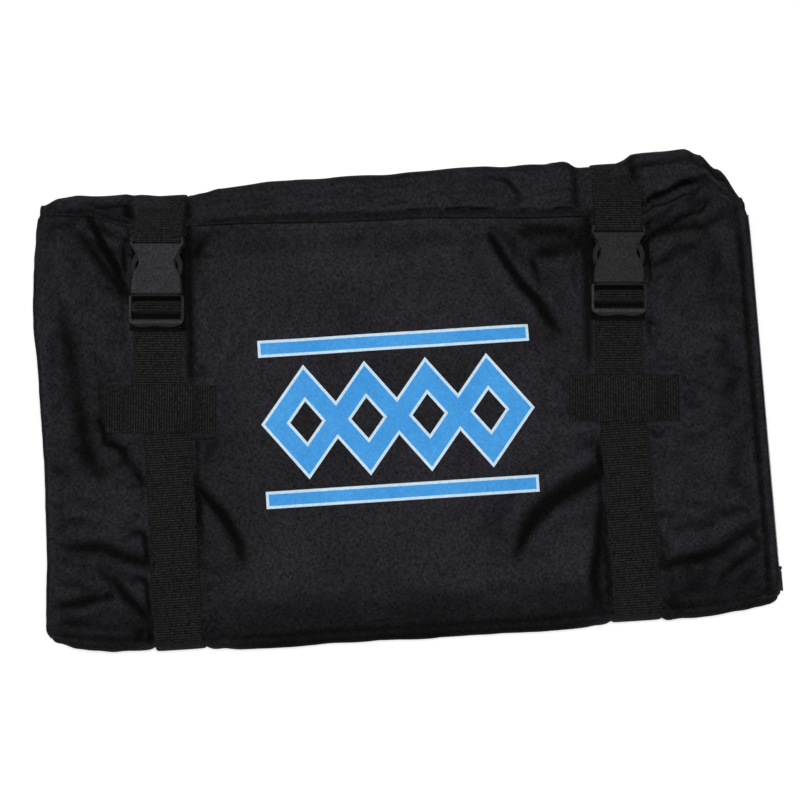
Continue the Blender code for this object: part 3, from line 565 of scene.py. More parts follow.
def make_moulding(name, colour, paler_colour, roughness=0.45, grain=2600.0, highlight_places=None):
    """Satin moulded plastic: pits, roughness patches, and a paler colour: in random patches, and instead as
    painted highlights where places are given.
    """
    material, tree, shader, coords = new_material(name)
    place = coords["Object"]
    patches = use_group(tree, MOTTLE, Place=place, Size=0.012).outputs["Mask"]
    # Without places the paler colour goes in random patches; with them it is a painted highlight.
    lighter = patches if highlight_places is None else highlight_places(tree, place)
    speckle = remap(tree, noise(tree, place, 620.0, 1.0), 0.4, 1.6, 0.3, 0.7)
    fill(
        tree,
        shader,
        Base_Color=darken(tree, blend_colours(tree, colour, paler_colour, lighter), speckle),
        Roughness=remap(tree, patches, roughness - 0.05, roughness + 0.07),
        Normal=bump(tree, 0.3, 0.0002, noise(tree, place, grain, 2.0)),
        Specular_IOR_Level=0.08,
    )
    return material


def frame_highlights(mouth, along, across):
    """A mask of painted highlights on a plug: its outer edges and front rail, measured from the mouth."""

    def mask(tree, place):
        """Pick the places of the painted highlights out of an object's own coordinates."""
        from_mouth = add_node(tree, "VectorMath", {"operation": "SUBTRACT"})
        put(tree, from_mouth.inputs[0], place)
        put(tree, from_mouth.inputs[1], mouth)
        reach = []
        for way in (along, across):
            dot = add_node(tree, "VectorMath", {"operation": "DOT_PRODUCT"})
            put(tree, dot.inputs[0], from_mouth.outputs[0])
            put(tree, dot.inputs[1], way)
            reach.append(dot.outputs["Value"])
        rail = calc(tree, "COMPARE", reach[0], RAIL, RAIL_HALF)
        edge = calc(tree, "GREATER_THAN", calc(tree, "ABSOLUTE", reach[1]), FRAME_EDGE)
        behind = calc(tree, "GREATER_THAN", reach[0], FRAME_END)
        return calc(tree, "MAXIMUM", rail, times(tree, edge, behind))

    return mask


def make_print(name, colour, lighter):
    """Transfer film on cloth: flat colour, slightly cracked where it wore, with the weave showing."""
    material, tree, shader, coords = new_material(name)
    weave = use_group(tree, WEAVE, Place=coords["UV"], Threads=THREADS).outputs
    patches = use_group(tree, MOTTLE, Place=coords["Object"], Size=0.05).outputs["Mask"]
    thin = remap(tree, weave["Tone"], 0.86, 1.08)
    fill(
        tree,
        shader,
        Base_Color=darken(tree, blend_colours(tree, colour, lighter, patches), thin),
        Normal=bump(tree, 0.35, 0.0004, weave["Height"]),
        Roughness=0.6,
        Specular_IOR_Level=0.15,
    )
    return material


# The right socket is coloured darker than the left as painted shade; both sockets are the same plastic.
ACETAL = {
    "left": make_moulding("left_acetal", (0.0145, 0.0142, 0.0170), (0.0235, 0.0230, 0.0272)),
    "right": make_moulding("right_acetal_painted_shade", (0.0092, 0.0092, 0.0094), (0.0146, 0.0146, 0.0149)),
}
# The arms are coloured darker than the sockets as painted shade, because they sit lower in the buckle.
ARM_ACETAL = make_moulding("arm_acetal_painted_shade", (0.0052, 0.0051, 0.0057), (0.0095, 0.0094, 0.0102))
ZIP_PLASTIC = make_moulding("zip_acetal", (0.009, 0.009, 0.010), (0.014, 0.014, 0.0155), 0.38, 3000.0)
BLUE_FILM = make_print("blue_film", (0.048, 0.315, 0.755), (0.066, 0.365, 0.815))
PALE_FILM = make_print("pale_film", (0.58, 0.76, 0.91), (0.64, 0.81, 0.94))


def finish(piece, material):
    """Give a piece its material and print how many faces it has."""
    piece.data.materials.clear()
    piece.data.materials.append(material)
    print(piece.name + ":", len(piece.data.polygons), "faces in", material.name)
    return piece


# %% [markdown]
# ## The letter fold as stations
#
# Seen from the side, each wall is a line that runs straight, turns round a fold and runs back. A
# station holds a point of the outer face and the direction that points out of the cloth there. A
# face that lies deeper in the stack is the same line moved in along that direction, which is how
# nested layers keep their distance round a fold.

# %% Stations
STEP = 2.85 * MM
RIM = 3.0 * MM
SHOWN_FROM = HEM - 14 * MM


def spread(low, high, step, rim_low=False, rim_high=False):
    """Places from low to high: even steps, and closer ones where an edge is rounded."""
    near = RIM * (1 - np.cos(np.radians([0, 25, 50, 75])))
    count = max(2, int(round((high - low) / step)) + 1)
    places = np.linspace(low + RIM * rim_low, high - RIM * rim_high, count)
    if rim_low:
        places = np.concatenate([low + near, places])
    if rim_high:
        places = np.concatenate([places, (high - near)[::-1]])
    return places


def straight(y, height, facing):
    """Stations on a flat stretch: the outward direction is +Z or -Z."""
    ones = np.ones(len(y))
    return np.stack([y, ones * height, ones * 0, ones * facing], axis=1)


def fold(centre, radius, start, end, step):
    """Stations on a fold: centre + radius * (cos a, sin a), which is also the way out."""
    count = int(round(abs(math.radians(end - start)) * radius / step)) + 2
    angle = np.radians(np.linspace(start, end, count))
    out = np.stack([np.cos(angle), np.sin(angle)], axis=1)
    return np.concatenate([np.array(centre) + radius * out, out], axis=1)


def join_up(*stretches):
    """One row of stations from several, without the doubled ones where they meet."""
    rows = [stretches[0]] + [stretch[1:] for stretch in stretches[1:]]
    return np.concatenate(rows)


def front_stations(step, rim=True):
    """The flap from its hem down, the bottom fold, and a short tail under the bag."""
    flap = straight(spread(BOTTOM_CENTRE[0], HEM, step, rim_high=rim)[::-1], FLAP_TOP, 1)
    turn = fold(BOTTOM_CENTRE, BOTTOM_RADIUS, 90, 270, step)
    tail = straight(spread(BOTTOM_CENTRE[0], SEAM, step), FLOOR, -1)
    return join_up(flap, turn, tail)


def rear_stations(step, rim=True):
    """The rear section from the seam, the top fold, and the middle section to its hidden end."""
    rear = straight(spread(SEAM + 0.3 * MM, TOP_CENTRE[0], 1.4 * step), FLOOR, -1)
    turn = fold(TOP_CENTRE, TOP_RADIUS, -90, 90, step)
    shown = straight(spread(SHOWN_FROM, TOP_CENTRE[0], 0.6 * step)[::-1], MIDDLE_TOP, 1)
    hidden = straight(spread(MIDDLE_END, SHOWN_FROM, 2 * step, rim_low=rim)[::-1], MIDDLE_TOP, 1)
    return join_up(rear, turn, shown, hidden)


def lay(stations, x, depth):
    """Points at a depth below the outer face: station - depth * outward, for every X."""
    depth = np.broadcast_to(depth, (len(stations), len(x)))
    grid = np.empty((len(stations), len(x), 3))
    grid[..., 0] = x
    grid[..., 1] = stations[:, 0, None] - depth * stations[:, 2, None]
    grid[..., 2] = stations[:, 1, None] - depth * stations[:, 3, None]
    return grid


print("front cover:", len(front_stations(STEP)), "stations; rear cover:", len(rear_stations(STEP)))

# %% [markdown]
# ## The outline
#
# A real bag isn't a rectangle. The left side is drawn in towards the top, the corners are soft, the
# top right corner is tucked away at a slant, the hem runs down to the right, and the straps pull
# notches into the top edge. Each of these is a short list of places and amounts in millimetres, read
# off the photograph, that moves all the layers together.

# %% Outline
LEFT_SIDE = [
    (-250, -1), (-222, -3), (-120, 2), (-44, 3), (51, 1), (114, -2), (177, 1), (208, 4), (229, 7), (250, 5),
]
TOP_EDGE = [
    (-389, -3), (-376, 1), (-357, 3), (-337, 4), (-300, 2), (-271, 4), (-245, 1), (-222, -3), (-206, -2),
    (-185, 2), (-150, 4), (-95, 6), (0, 6), (100, 8), (125, 6), (160, 6), (185, 8), (206, 3), (226, 3),
    (242, 5), (262, 10), (290, 12), (318, 14), (334, 6), (352, -11), (379, -40),
]
BOTTOM_EDGE = [
    (-390, 24), (-376, 17), (-357, 12), (-337, 10), (-316, 8), (-284, 6), (-262, 2), (-240, 2), (-200, 2),
    (-21, 2), (100, 1), (160, 2), (190, 1), (250, 1), (300, 4), (340, 8), (365, 10), (379, 14),
]
HEM_EDGE = [
    (-389, 22), (-379, 33), (-330, 30), (-275, 15), (-210, 12), (0, 5), (200, -4), (262, -7), (284, 2),
    (317, 12), (340, 22), (356, 10), (368, -4), (379, -16),
]
DRAWN = (-0.388, 0.378)
SIDE_REACH = 0.10
FOLD_REACH = 0.05
HEM_MOVES_FROM = 0.03
TOP_MOVES_FROM = 0.12
KNEE = 0.200
KNEE_BLUR = 0.035


def hem_line(x):
    """Where the hem lies for each X, before the sides are drawn in."""
    return HEM + through(HEM_EDGE, np.clip(x, *DRAWN))


def top_shift(x):
    """How far the top edge moves for each X."""
    return through(TOP_EDGE, np.clip(x, *DRAWN))


def near_bottom(y):
    """1 at the bottom fold's crest, 0 from 50 mm inside it."""
    return ease(1 - (y - bend_low[1]) / FOLD_REACH)


def shape_sides(points):
    """Draw the left side in or out, and soften the bottom corners."""
    x, y = points[..., 0].copy(), points[..., 1].copy()
    near_left = ease(1 - (x - LEFT) / SIDE_REACH)
    points[..., 0] = x + through(LEFT_SIDE, np.clip(y, -0.249, 0.249)) * near_left
    points[..., 1] = y + through(BOTTOM_EDGE, np.clip(x, -0.389, 0.379)) * near_bottom(y)
    return points


def shape_front(points):
    """Outline of the flap and the bottom fold: the sides, and the hem's slant."""
    near_hem = ease((points[..., 1] - HEM_MOVES_FROM) / (HEM - HEM_MOVES_FROM))
    points[..., 1] += (hem_line(points[..., 0]) - HEM) * near_hem
    return shape_sides(points)


def shape_rear(points):
    """Outline of the rear and middle sections: the sides, and the top edge with its tucked corner."""
    near_top = ease((points[..., 1] - TOP_MOVES_FROM) / (shell_high[1] - TOP_MOVES_FROM))
    points = shape_sides(points)
    points[..., 1] += top_shift(points[..., 0]) * near_top
    return points


def drape_over_top(path):
    """Move a strap's path with the top edge that it passes over, past the buckle's knee only."""
    path[:, 1] += top_shift(path[:, 0]) * ease((path[:, 1] - KNEE) / KNEE_BLUR)
    return path


print("hem at the left, middle and right:", [round(float(hem_line(x)), 4) for x in (LEFT, 0, RIGHT)])


# %% [markdown]
# ## Where the cloth is held down
#
# Straps, keepers and buckles press the padding flat, and the cloth swells between them. A mask that
# is 1 under them and 0 elsewhere is made from the nodes' own boxes.

# %% Held-down mask
HOLDERS = ("lower_strap", "keeper", "adjusting_strap", "plug", "socket", "upper_strap")


def within(value, low, high, margin):
    """How far a value lies inside a range that is grown by a margin, less than 0 outside."""
    return np.minimum(value - low + margin, high + margin - value)


def held(x, y, margin, blur):
    """1 inside any holder's box grown by a margin, easing to 0 over the blur width."""
    mask = np.zeros(np.broadcast(x, y).shape)
    for side in SIDES:
        for holder in HOLDERS:
            low, high = corners(side + "_" + holder)
            inside = (within(value, low[k], high[k], margin) for k, value in enumerate((x, y)))
            mask = np.maximum(mask, ease(1 + np.minimum(*inside) / blur))
    return mask


def strap_band(x, margin, blur):
    """1 across the whole length of both straps, for the folds and the underside."""
    mask = np.zeros(np.shape(x))
    for side in SIDES:
        low, high = corners(side + "_back_strap")
        mask = np.maximum(mask, ease(1 + within(x, low[0], high[0], margin) / blur))
    return mask


def from_sides(x, width):
    """0 at the bag's two sides, 1 from a width inside them."""
    return ease(np.minimum(x - LEFT, RIGHT - x) / width)


# %% [markdown]
# The buckles lean a few degrees. Whatever belongs to one is measured from the mouth of its socket,
# along it and across it.

# %% Buckle frames
SOCKET_LENGTH = 60.6 * MM


def buckle(side):
    """Mouth of a socket, and the buckle's long and cross directions."""
    low, high = corners(side + "_socket")
    along = np.array([math.sin(LEAN), math.cos(LEAN), 0])
    across = np.array([math.cos(LEAN), -math.sin(LEAN), 0])
    mouth = (low + high) / 2 - along * SOCKET_LENGTH / 2
    return mouth, along, across


print("mouth of the left socket:", [round(float(c), 4) for c in buckle("left")[0]])

# %% [markdown]
# ## Folds
#
# The folds that stand out in the photograph are drawn as paths on the flap. Padded cloth
# doesn't crease like paper: one side stays up as a soft roll, then the cloth drops over a short steep
# wall and comes back slowly. Light from near the lens leaves the wall dark, and the roll bright. So a
# fold is a profile across its path: a roll on the left-hand side, a wall, and a long way back.

# %% Fold function


def beside_path(x, y, path):
    """Signed distance to a path given in millimetres, positive on its left, and the share passed."""
    points = np.array(path, float) * MM
    lengths = np.linalg.norm(np.diff(points, axis=0), axis=1)
    reach = travel(points) / lengths.sum()
    nearest = np.full(np.shape(x), 1e9)
    side = np.zeros(np.shape(x))
    along = np.zeros(np.shape(x))
    for k, length in enumerate(lengths):
        start, way = points[k], (points[k + 1] - points[k]) / length
        dx, dy = x - start[0], y - start[1]
        t = np.clip(dx * way[0] + dy * way[1], 0, length)
        gap = np.hypot(dx - t * way[0], dy - t * way[1])
        closer = gap < nearest
        nearest = np.where(closer, gap, nearest)
        side = np.where(closer, np.sign(dy * way[0] - dx * way[1]) * gap, side)
        along = np.where(closer, reach[k] + (reach[k + 1] - reach[k]) * t / length, along)
    return side, along


FADE_IN = 0.12
FADE_OUT = 0.3
WAY_BACK = 30 * MM
DARKEST = 5.6
PINCH = 0.6 * MM
PINCH_WIDTH = 2.6 * MM


def across_fold(x, y, path, width, end_width):
    """Distance to a fold's path, the fold's own width there, and how much it fades at its ends."""
    side, along = beside_path(x, y, path)
    w = (width + ((end_width or width) - width) * along) * MM
    return side, w, ease(along / FADE_IN) * ease((1 - along) / FADE_OUT)


def fold_height(x, y, path, depth, width, end_width=None):
    """Height of one fold at d to the left: depth * (0.3 roll(d) - wall(d) * exp(-(way back / 30 mm)^2))."""
    side, w, fade = across_fold(x, y, path, width, end_width)
    wall = ease((w / 2 - side) / w)
    way_back = np.exp(-((np.maximum(-side - w / 2, 0) / WAY_BACK) ** 2))
    roll = np.exp(-(((side - w) / (1.3 * w)) ** 2))
    return depth * MM * fade * (0.3 * roll - wall * way_back)


def fold_shade(x, y, path, depth, width, end_width=None):
    """Painted shade on a fold's wall, as the share of colour left: 1 - depth / 5.6 mm * exp(-(d / 0.6
    width)^2).
    """
    side, w, fade = across_fold(x, y, path, width, end_width)
    return 1 - min(depth / DARKEST, 0.95) * fade * np.exp(-((side / (0.6 * w)) ** 2))


FLAP_FOLDS = [
    ([(98, 184), (104, 169), (114, 149), (130, 121), (147, 101), (157, 81), (170, 62), (178, 50)],
     5.2, 7, 13),
    ([(236, -72), (203, -81), (188, -89), (166, -100), (144, -112), (128, -126), (116, -141), (108, -159),
      (103, -186)], 7.0, 19, 10),
    ([(-262, 118), (-284, 134), (-300, 154), (-312, 172), (-327, 196), (-354, 220)], 5.4, 12, 9),
    ([(-258, 180), (-276, 177), (-301, 184), (-324, 198)], 2.8, 7),
    ([(-242, -56), (-226, -70), (-214, -82), (-200, -99), (-190, -114), (-181, -135), (-179, -172)],
     4.4, 10, 16),
    ([(-332, 14), (-315, -8), (-303, -28), (-281, -56), (-258, -78)], 2.6, 12),
    ([(-250, -154), (-273, -148), (-301, -138), (-326, -128), (-378, -124)], 4.4, 14),
    ([(-262, -222), (-280, -206), (-298, -184), (-317, -162), (-340, -138)], 4.0, 12),
    ([(-310, -177), (-324, -179), (-344, -182), (-390, -188)], 3.6, 11),
    ([(362, -146), (339, -159), (317, -172), (296, -178), (275, -181), (236, -188)], 5.0, 12),
    ([(364, -168), (345, -180), (328, -191), (304, -212)], 3.6, 9),
    ([(186, -228), (184, -189), (191, -164), (197, -128), (208, -100)], 3.2, 10),
    ([(240, 158), (262, 159), (281, 166), (305, 171), (328, 169), (349, 181), (379, 194)], 4.6, 8),
    ([(284, 174), (300, 182), (326, 193), (348, 210)], 2.8, 6),
    ([(246, 179), (263, 176), (277, 168), (298, 169)], 2.2, 6),
    ([(318, 178), (328, 169), (340, 152)], 2.4, 6),
    ([(122, 179), (144, 175), (170, 173), (220, 178)], 2.8, 11),
    ([(138, 150), (158, 154), (185, 157), (222, 164)], 2.8, 11),
    ([(-328, -60), (-341, 6), (-347, 49), (-348, 70), (-351, 97), (-358, 150)], 3.4, 18),
    ([(366, 300), (366, -400)], 2.4, 5),
    ([(-196, 178), (-204, 170), (-212, 158)], 1.6, 8),
]


STITCH_ROW = 9 * MM


def flap_folds(x, y):
    """All the flap's folds together with the pinch along the hem's stitches."""
    total = sum(fold_height(x, y, *fold) for fold in FLAP_FOLDS)
    row = hem_line(x) - STITCH_ROW
    return total - PINCH * np.exp(-(((y - row) / PINCH_WIDTH) ** 2))


# %% [markdown]
# ## Letting the cloth swell
#
# Padding pushes the cloth out between the places that hold it, and cloth that is a little too large
# for its bed buckles into shallow waves. That is what a cloth solver is good at. A coarse grid of the
# outer face gets slack and pressure for a few frames, pinned at its edges and under the straps. Only
# its movement is kept, capped, and read onto the fine grid.

# %% Cloth simulation
SIM_STEP = 8 * MM
SIM_FRAMES = 18
SIM_SETTINGS = {
    "quality": 6,
    "mass": 0.4,
    "tension_stiffness": 25,
    "compression_stiffness": 25,
    "shear_stiffness": 12,
    "bending_stiffness": 1.2,
    "use_pressure": True,
    "vertex_group_mass": "pinned",
}


def swell(points, pinned, pressure, slack, cap):
    """Run Blender's cloth on a grid and return how far each point moved: cap * tanh(distance / cap)."""
    rows, columns = points.shape[:2]
    mesh = mesh_of("swelling", points, grid_faces(rows, columns).tolist())
    cloth = to_scene("swelling", mesh)
    group = cloth.vertex_groups.new(name="pinned")
    group.add(np.flatnonzero(pinned.ravel() > 0.5).tolist(), 1.0, "REPLACE")
    modifier = cloth.modifiers.new("cloth", "CLOTH")
    for key, value in SIM_SETTINGS.items():
        setattr(modifier.settings, key, value)
    modifier.settings.uniform_pressure_force = pressure
    modifier.settings.shrink_min = -slack
    modifier.settings.effector_weights.gravity = 0
    modifier.collision_settings.use_collision = False
    for number in range(1, SIM_FRAMES + 1):
        bpy.context.scene.frame_set(number)
    evaluated = cloth.evaluated_get(bpy.context.evaluated_depsgraph_get())
    moved = np.zeros(rows * columns * 3)
    evaluated.data.vertices.foreach_get("co", moved)
    bpy.data.objects.remove(cloth)
    bpy.data.meshes.remove(mesh)
    bpy.context.scene.frame_set(1)
    change = moved.reshape(rows, columns, 3) - points
    size = np.linalg.norm(change, axis=-1, keepdims=True)
    return change * cap * np.tanh(size / cap) / np.maximum(size, 1e-9)


def swollen(stations_of, fine_stations, fine_x, pressure, slack, cap):
    """Simulate the outer face on a coarse grid and read its movement at the fine places."""
    stations = stations_of(SIM_STEP, False)
    x = np.linspace(LEFT, RIGHT, int((RIGHT - LEFT) / SIM_STEP) + 1)
    points = lay(stations, x, 0.0)
    pinned = np.where(
        stations[:, 3, None] > 0.5,
        held(points[..., 0], points[..., 1], 2 * MM, 1 * MM),
        strap_band(points[..., 0], 2 * MM, 1 * MM),
    )
    pinned[[0, -1], :] = 1
    pinned[:, [0, -1]] = 1
    change = swell(points, pinned, pressure, slack, cap)
    coarse, fine = travel(stations[:, :2]), travel(fine_stations[:, :2])
    rows = resampler(coarse, fine * coarse[-1] / fine[-1])
    print("cloth moved by up to", round(float(np.abs(change).max()) / MM, 2), "mm")
    return np.einsum("ij,jkc,lk->ilc", rows, change, resampler(x, fine_x))


# %% [markdown]
# ## The padded covers
#
# Each cover is two faces that meet in a rounded rim: the outer face, which is seen, and the face that
# lies on the next layer. Towards a free edge both faces close in like a quarter circle. The front
# cover is one piece from the hem, down the flap and round the bottom fold. Near the hem the straps
# have squeezed the padding thin.

# %% Cover builder


def rim_share(distance):
    """0 at an edge and 1 past the rim, along a quarter circle: sqrt(1 - (1 - d/r)^2)."""
    return np.sqrt(1 - (1 - np.clip(distance / RIM, 0, 1)) ** 2)


HEM_SQUEEZE = 0.46
FOLD_SQUEEZE = 0.44
SINKS_FROM = bend_low[1] + 56 * MM
HEM_SLOPE = 0.042
FOLD_SLOPE = 0.044
FREE_SINK = 2.9 * MM
MORE_SINK = 1.4 * MM


def thinning(x, y):
    """How much of the flap's thickness is lost: towards the hem, and towards the bottom between straps."""
    to_hem = HEM_SQUEEZE * ease((y - (HEM - HEM_SLOPE)) / HEM_SLOPE)
    to_fold = FOLD_SQUEEZE * ease((SINKS_FROM - y) / FOLD_SLOPE) * (1 - strap_band(x, 3 * MM, 22 * MM))
    return to_hem + to_fold * (0.85 + 0.15 * field(x, y, 0.10, 61))


def squeeze(points):
    """Thin the flap: heights above its underside shrink by the thinning."""
    x, y, z = (points[..., k] for k in range(3))
    upper = z > lining_low[2]
    points[..., 2] = np.where(upper, lining_low[2] + (z - lining_low[2]) * (1 - thinning(x, y)), z)
    return points


def keep_filling(grid, stations, depth):
    """Stop a face from sinking through its wall: past 2.9 mm it sinks 1.4 mm * tanh(rest / 1.4 mm) more."""
    y_sunk = (stations[:, 0, None] - grid[..., 1]) * stations[:, 2, None]
    z_sunk = (stations[:, 1, None] - grid[..., 2]) * stations[:, 3, None]
    extra = np.maximum(y_sunk + z_sunk - depth - FREE_SINK, 0)
    lifted = extra - MORE_SINK * np.tanh(extra / MORE_SINK)
    grid[..., 1] += lifted * stations[:, 2, None]
    grid[..., 2] += lifted * stations[:, 3, None]
    return grid


def cover(stations, step, depth, free_start, puff, change=None):
    """Build one padded wall along its stations at a depth in the stack, free at its start or its end."""
    x = spread(LEFT, RIGHT, step, True, True)
    run = travel(stations[:, :2])
    share = rim_share(np.minimum(x - LEFT, RIGHT - x))[None, :] * np.ones((len(run), 1))
    share = share * rim_share(run if free_start else run[-1] - run)[:, None]
    flat = lay(stations, x, 0.0)
    bulge = puff(flat[..., 0], flat[..., 1], stations) * share
    outer = lay(stations, x, depth + WALL / 2 * (1 - share) - bulge)
    inner = lay(stations, x, depth + WALL / 2 * (1 + share))
    if change is not None:
        outer = outer + change(stations, x) * share[..., None]
    return keep_filling(outer, stations, depth), inner, grid_of(x, run)


# %% [markdown]
# ### Dust and painted shade
#
# The amount of dust and painted shade is found from the finished shape. Level cloth keeps its dust;
# a place that tilts away from its sheet is painted darker as shade, and so is the cloth as it turns
# round a fold. Narrow gaps beside the straps and the cloth under the buckles are painted dark as
# shade too; the widest of them are drawn, like the folds.

# %% Dust and painted shade from slope
STEEP = math.radians(28)
SIDE_ROLL = 14 * MM
# Painted shade along drawn paths: beside the straps, on the walls of folds, and in a band across the bottom
# where the cloth turns away.
PAINTED_SHADE_PATHS = [
    ([(-217, 250), (-218, 179), (-220, 125), (-221, 83), (-224, 24)], 4.6, 0.95),
    ([(209, 205), (204, 152), (200, 109), (198, 66), (195, 20)], 4.4, 0.9),
    ([(134, 178), (170, 175), (206, 168)], 9.0, 0.6),
    ([(150, 154), (175, 157), (206, 160)], 8.0, 0.5),
    ([(199, -110), (191, -174), (184, -232)], 6.5, 0.75),
    ([(-335, 236), (-300, 228), (-270, 213)], 9.0, 0.5),
    ([(-222, -44), (-226, -120), (-229, -236)], 2.6, 0.7),
    ([(250, -66), (203, -75), (186, -84), (164, -96), (142, -109), (126, -124), (110, -150)], 9.0, 0.85),
    ([(-600, -240), (600, -240)], 32.0, 0.66),
]


def painted_shade_marks(x, y):
    """Share of the colour left by painted shade: beside the drawn paths, on the folds' walls and towards
    the sides, under a random tone.
    """
    left = np.ones(np.shape(x))
    for path, width, amount in PAINTED_SHADE_PATHS:
        side, along = beside_path(x, y, path)
        ends = ease(along / FADE_IN) * ease((1 - along) / FADE_IN)
        left = left * (1 - amount * ends * np.exp(-((side / (width * MM)) ** 2)))
    for fold in FLAP_FOLDS:
        left = left * fold_shade(x, y, *fold)
    # Painted shade: the flap is darker towards its left side above the bottom, and a little towards its
    # right.
    shade_to_left = 0.10 * ease((-0.17 - x) / 0.08) * ease((y + 0.12) / 0.08)
    shade_to_right = 0.02 * ease((x - 0.15) / 0.08)
    return left * (1 - shade_to_left - shade_to_right) * (1 + 0.10 * field(x, y, 0.11, 71))


BUCKLE_HALF = 28 * MM
PLUG_REACH = 37 * MM
SOCKET_REACH = 62 * MM


def shade_under_buckles(x, y):
    """1 under the plugs and sockets, where the cloth is painted dark as shade."""
    mask = np.zeros(np.shape(x))
    for side in SIDES:
        mouth, along, across = buckle(side)
        u = (x - mouth[0]) * across[0] + (y - mouth[1]) * across[1]
        v = (x - mouth[0]) * along[0] + (y - mouth[1]) * along[1]
        inside = np.minimum(BUCKLE_HALF - np.abs(u), np.minimum(v + PLUG_REACH, SOCKET_REACH - v))
        mask = np.maximum(mask, ease(1 + inside / (2 * MM)))
    return mask


def dust_and_shade_from_slope(grid, stations, turn_shade, marked_from=-1.0):
    """Dust and painted shade: 1 on level cloth, 1 - (angle to the sheet / 28 degrees)^1.2, less by the
    painted shade of a turn.

    The drawn painted shade lies on the upper side, and only past the place along Y that it is given.
    """
    normal = unit(np.cross(np.gradient(grid, axis=1), np.gradient(grid, axis=0)), 1e-12)
    facing = np.abs(normal[..., 1] * stations[:, 2, None] + normal[..., 2] * stations[:, 3, None])
    angle = np.arccos(np.clip(facing, 0, 1))
    from_side = ease(np.minimum(grid[..., 0] - LEFT - 3 * MM, RIGHT - grid[..., 0]) / SIDE_ROLL)
    dust_and_shade = 1 - from_side * np.clip(angle / STEEP, 0, 1) ** 1.2
    turn = ease((0.98 - np.abs(stations[:, 3])) / 0.5)[:, None]
    upper = (stations[:, 3] > 0.9)[:, None] & (grid[..., 1] > marked_from)
    x, y = grid[..., 0], grid[..., 1]
    shade_marks = np.where(upper, painted_shade_marks(x, y) * (1 - shade_under_buckles(x, y)), 1.0)
    return dust_and_shade * (1 - turn_shade * turn) * shade_marks


# %% [markdown]
# ### Front cover
#
# The flap is what the photograph shows, so it gets everything: the swelling from the solver, broad
# uneven padding, the folds, and the pinch along the stitches.

# %% Front cover
CROWN = 5.2 * MM
SIDE_SLOPE = 0.05
HEADROOM = 11 * MM
LEVEL = 0.99


def front_puff(x, y, stations):
    """Outward bulge of the front cover: a crown between the holders, uneven padding and folds."""
    out = stations[:, 3][:, None]

    def away(margin, blur):
        """1 away from what holds the cloth down: straps and buckles on the flap, straps elsewhere."""
        margin, blur = margin * MM, blur * MM
        return 1 - np.where(out > LEVEL, held(x, y, margin, blur), strap_band(x, margin, blur))

    edge = from_sides(x, SIDE_SLOPE)
    under = np.clip(-out, 0, 1)
    crown = CROWN * edge * (0.8 + 0.2 * field(x, y, 0.16, 3))
    crumple = 0.8 * MM * field(x, y, 0.075, 11) + 0.45 * MM * field(x, y, 0.030, 5)
    crumple = crumple * (0.6 + 0.9 * ease((np.abs(x + 0.012) - 0.19) / 0.05))
    soft = crown * (1 - under) + 0.8 * MM * under * edge
    rise = soft * (0.64 * away(3, 36) + 0.36 * away(0.5, 9))
    sunk = 1.8 * MM * (1 - np.abs(out)) * strap_band(x, 0.5 * MM, 6 * MM)
    folds = flap_folds(x, y) * ease(2 * np.clip(out, 0, 1))
    return rise - sunk + (crumple * (1 - under) + folds) * away(1, 7)


def front_change(stations, x):
    """Movement of the front cover's outer face in the cloth simulation, less round the fold."""
    level = ease((stations[:, 3] - 0.80) / 0.2)[:, None, None]
    moved = swollen(front_stations, stations, x, pressure=3.0, slack=0.012, cap=5 * MM)
    return moved * (0.25 + 0.6 * level)


front = front_stations(STEP)
front_outer, front_inner, front_uv = cover(front, STEP, 0.0, True, front_puff, front_change)
front_outer = shape_front(squeeze(front_outer))
front_inner = shape_front(squeeze(front_inner))
pressed = held(front_outer[..., 0], front_outer[..., 1], 2 * MM, 8 * MM)
room_above = HEADROOM * (1 - pressed) + 0.01 * MM
used = np.maximum((front_outer[..., 2] - FLAP_TOP) / room_above, 0)
kept = np.where(used > 0.5, 0.5 + 0.5 * np.tanh((used - 0.5) / 0.5), used)
front_outer[..., 2] -= (used - kept) * room_above
# Dust and painted shade of the flap cover, painted darker where it turns round the bottom fold.
front_dust_and_shade = dust_and_shade_from_slope(front_outer, front, 0.6)
flap_cover = close_pair("flap_cover", front_outer, front_inner, front_uv, front_dust_and_shade)
finish(flap_cover, OXFORD)
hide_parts("flap_outer_wall", "fold_outer_wall")

# %% [markdown]
# ### Rear cover
#
# Under the bag the cloth sags a little between the two straps that it rests on. The top fold swells
# up to the hem, so the strip above the hem looks nearly level with the flap. Between the sections
# nothing may bulge, because the flap lies there.

# %% Rear cover
STRIP_FOLD = ([(116, 244), (122, 232), (136, 213), (142, 202)], 2.4, 6)
REAR_STEP = STEP * 1.2


def rear_puff(x, y, stations):
    """Outward bulge of the rear cover: a sag below, a swollen top fold, shallow dents between."""
    out = stations[:, 3][:, None]
    upper = out > LEVEL
    free = 1 - strap_band(x, 4 * MM, 24 * MM)
    under = ease(-out * 4) * 1.3 * MM * from_sides(x, SIDE_SLOPE) * (0.7 + 0.3 * field(x, y, 0.12, 21))
    past_hem = ease((y - hem_line(x) + 1 * MM) / (6 * MM))
    strip = np.where(upper, past_hem, ease((out + 0.9) / 0.9))
    ripples = 0.7 * MM * field(x, y, 0.06, 8) + 0.4 * MM * field(x, 3 * y, 0.03, 9)
    beyond_straps = ease((np.abs(x + 0.008) - 0.262) / 0.02)
    roll = (4.6 + 2.4 * beyond_straps * upper) * MM * from_sides(x, 0.02)
    fold_swell = strip * (roll + ripples) + fold_height(x, y, *STRIP_FOLD) * upper
    dents = -np.abs(0.8 * MM * field(x, y, 0.09, 4)) * ease(out * 4) * (1 - strip)
    return under * free + (fold_swell + dents) * (1 - 0.6 * strap_band(x, 1 * MM, 10 * MM))


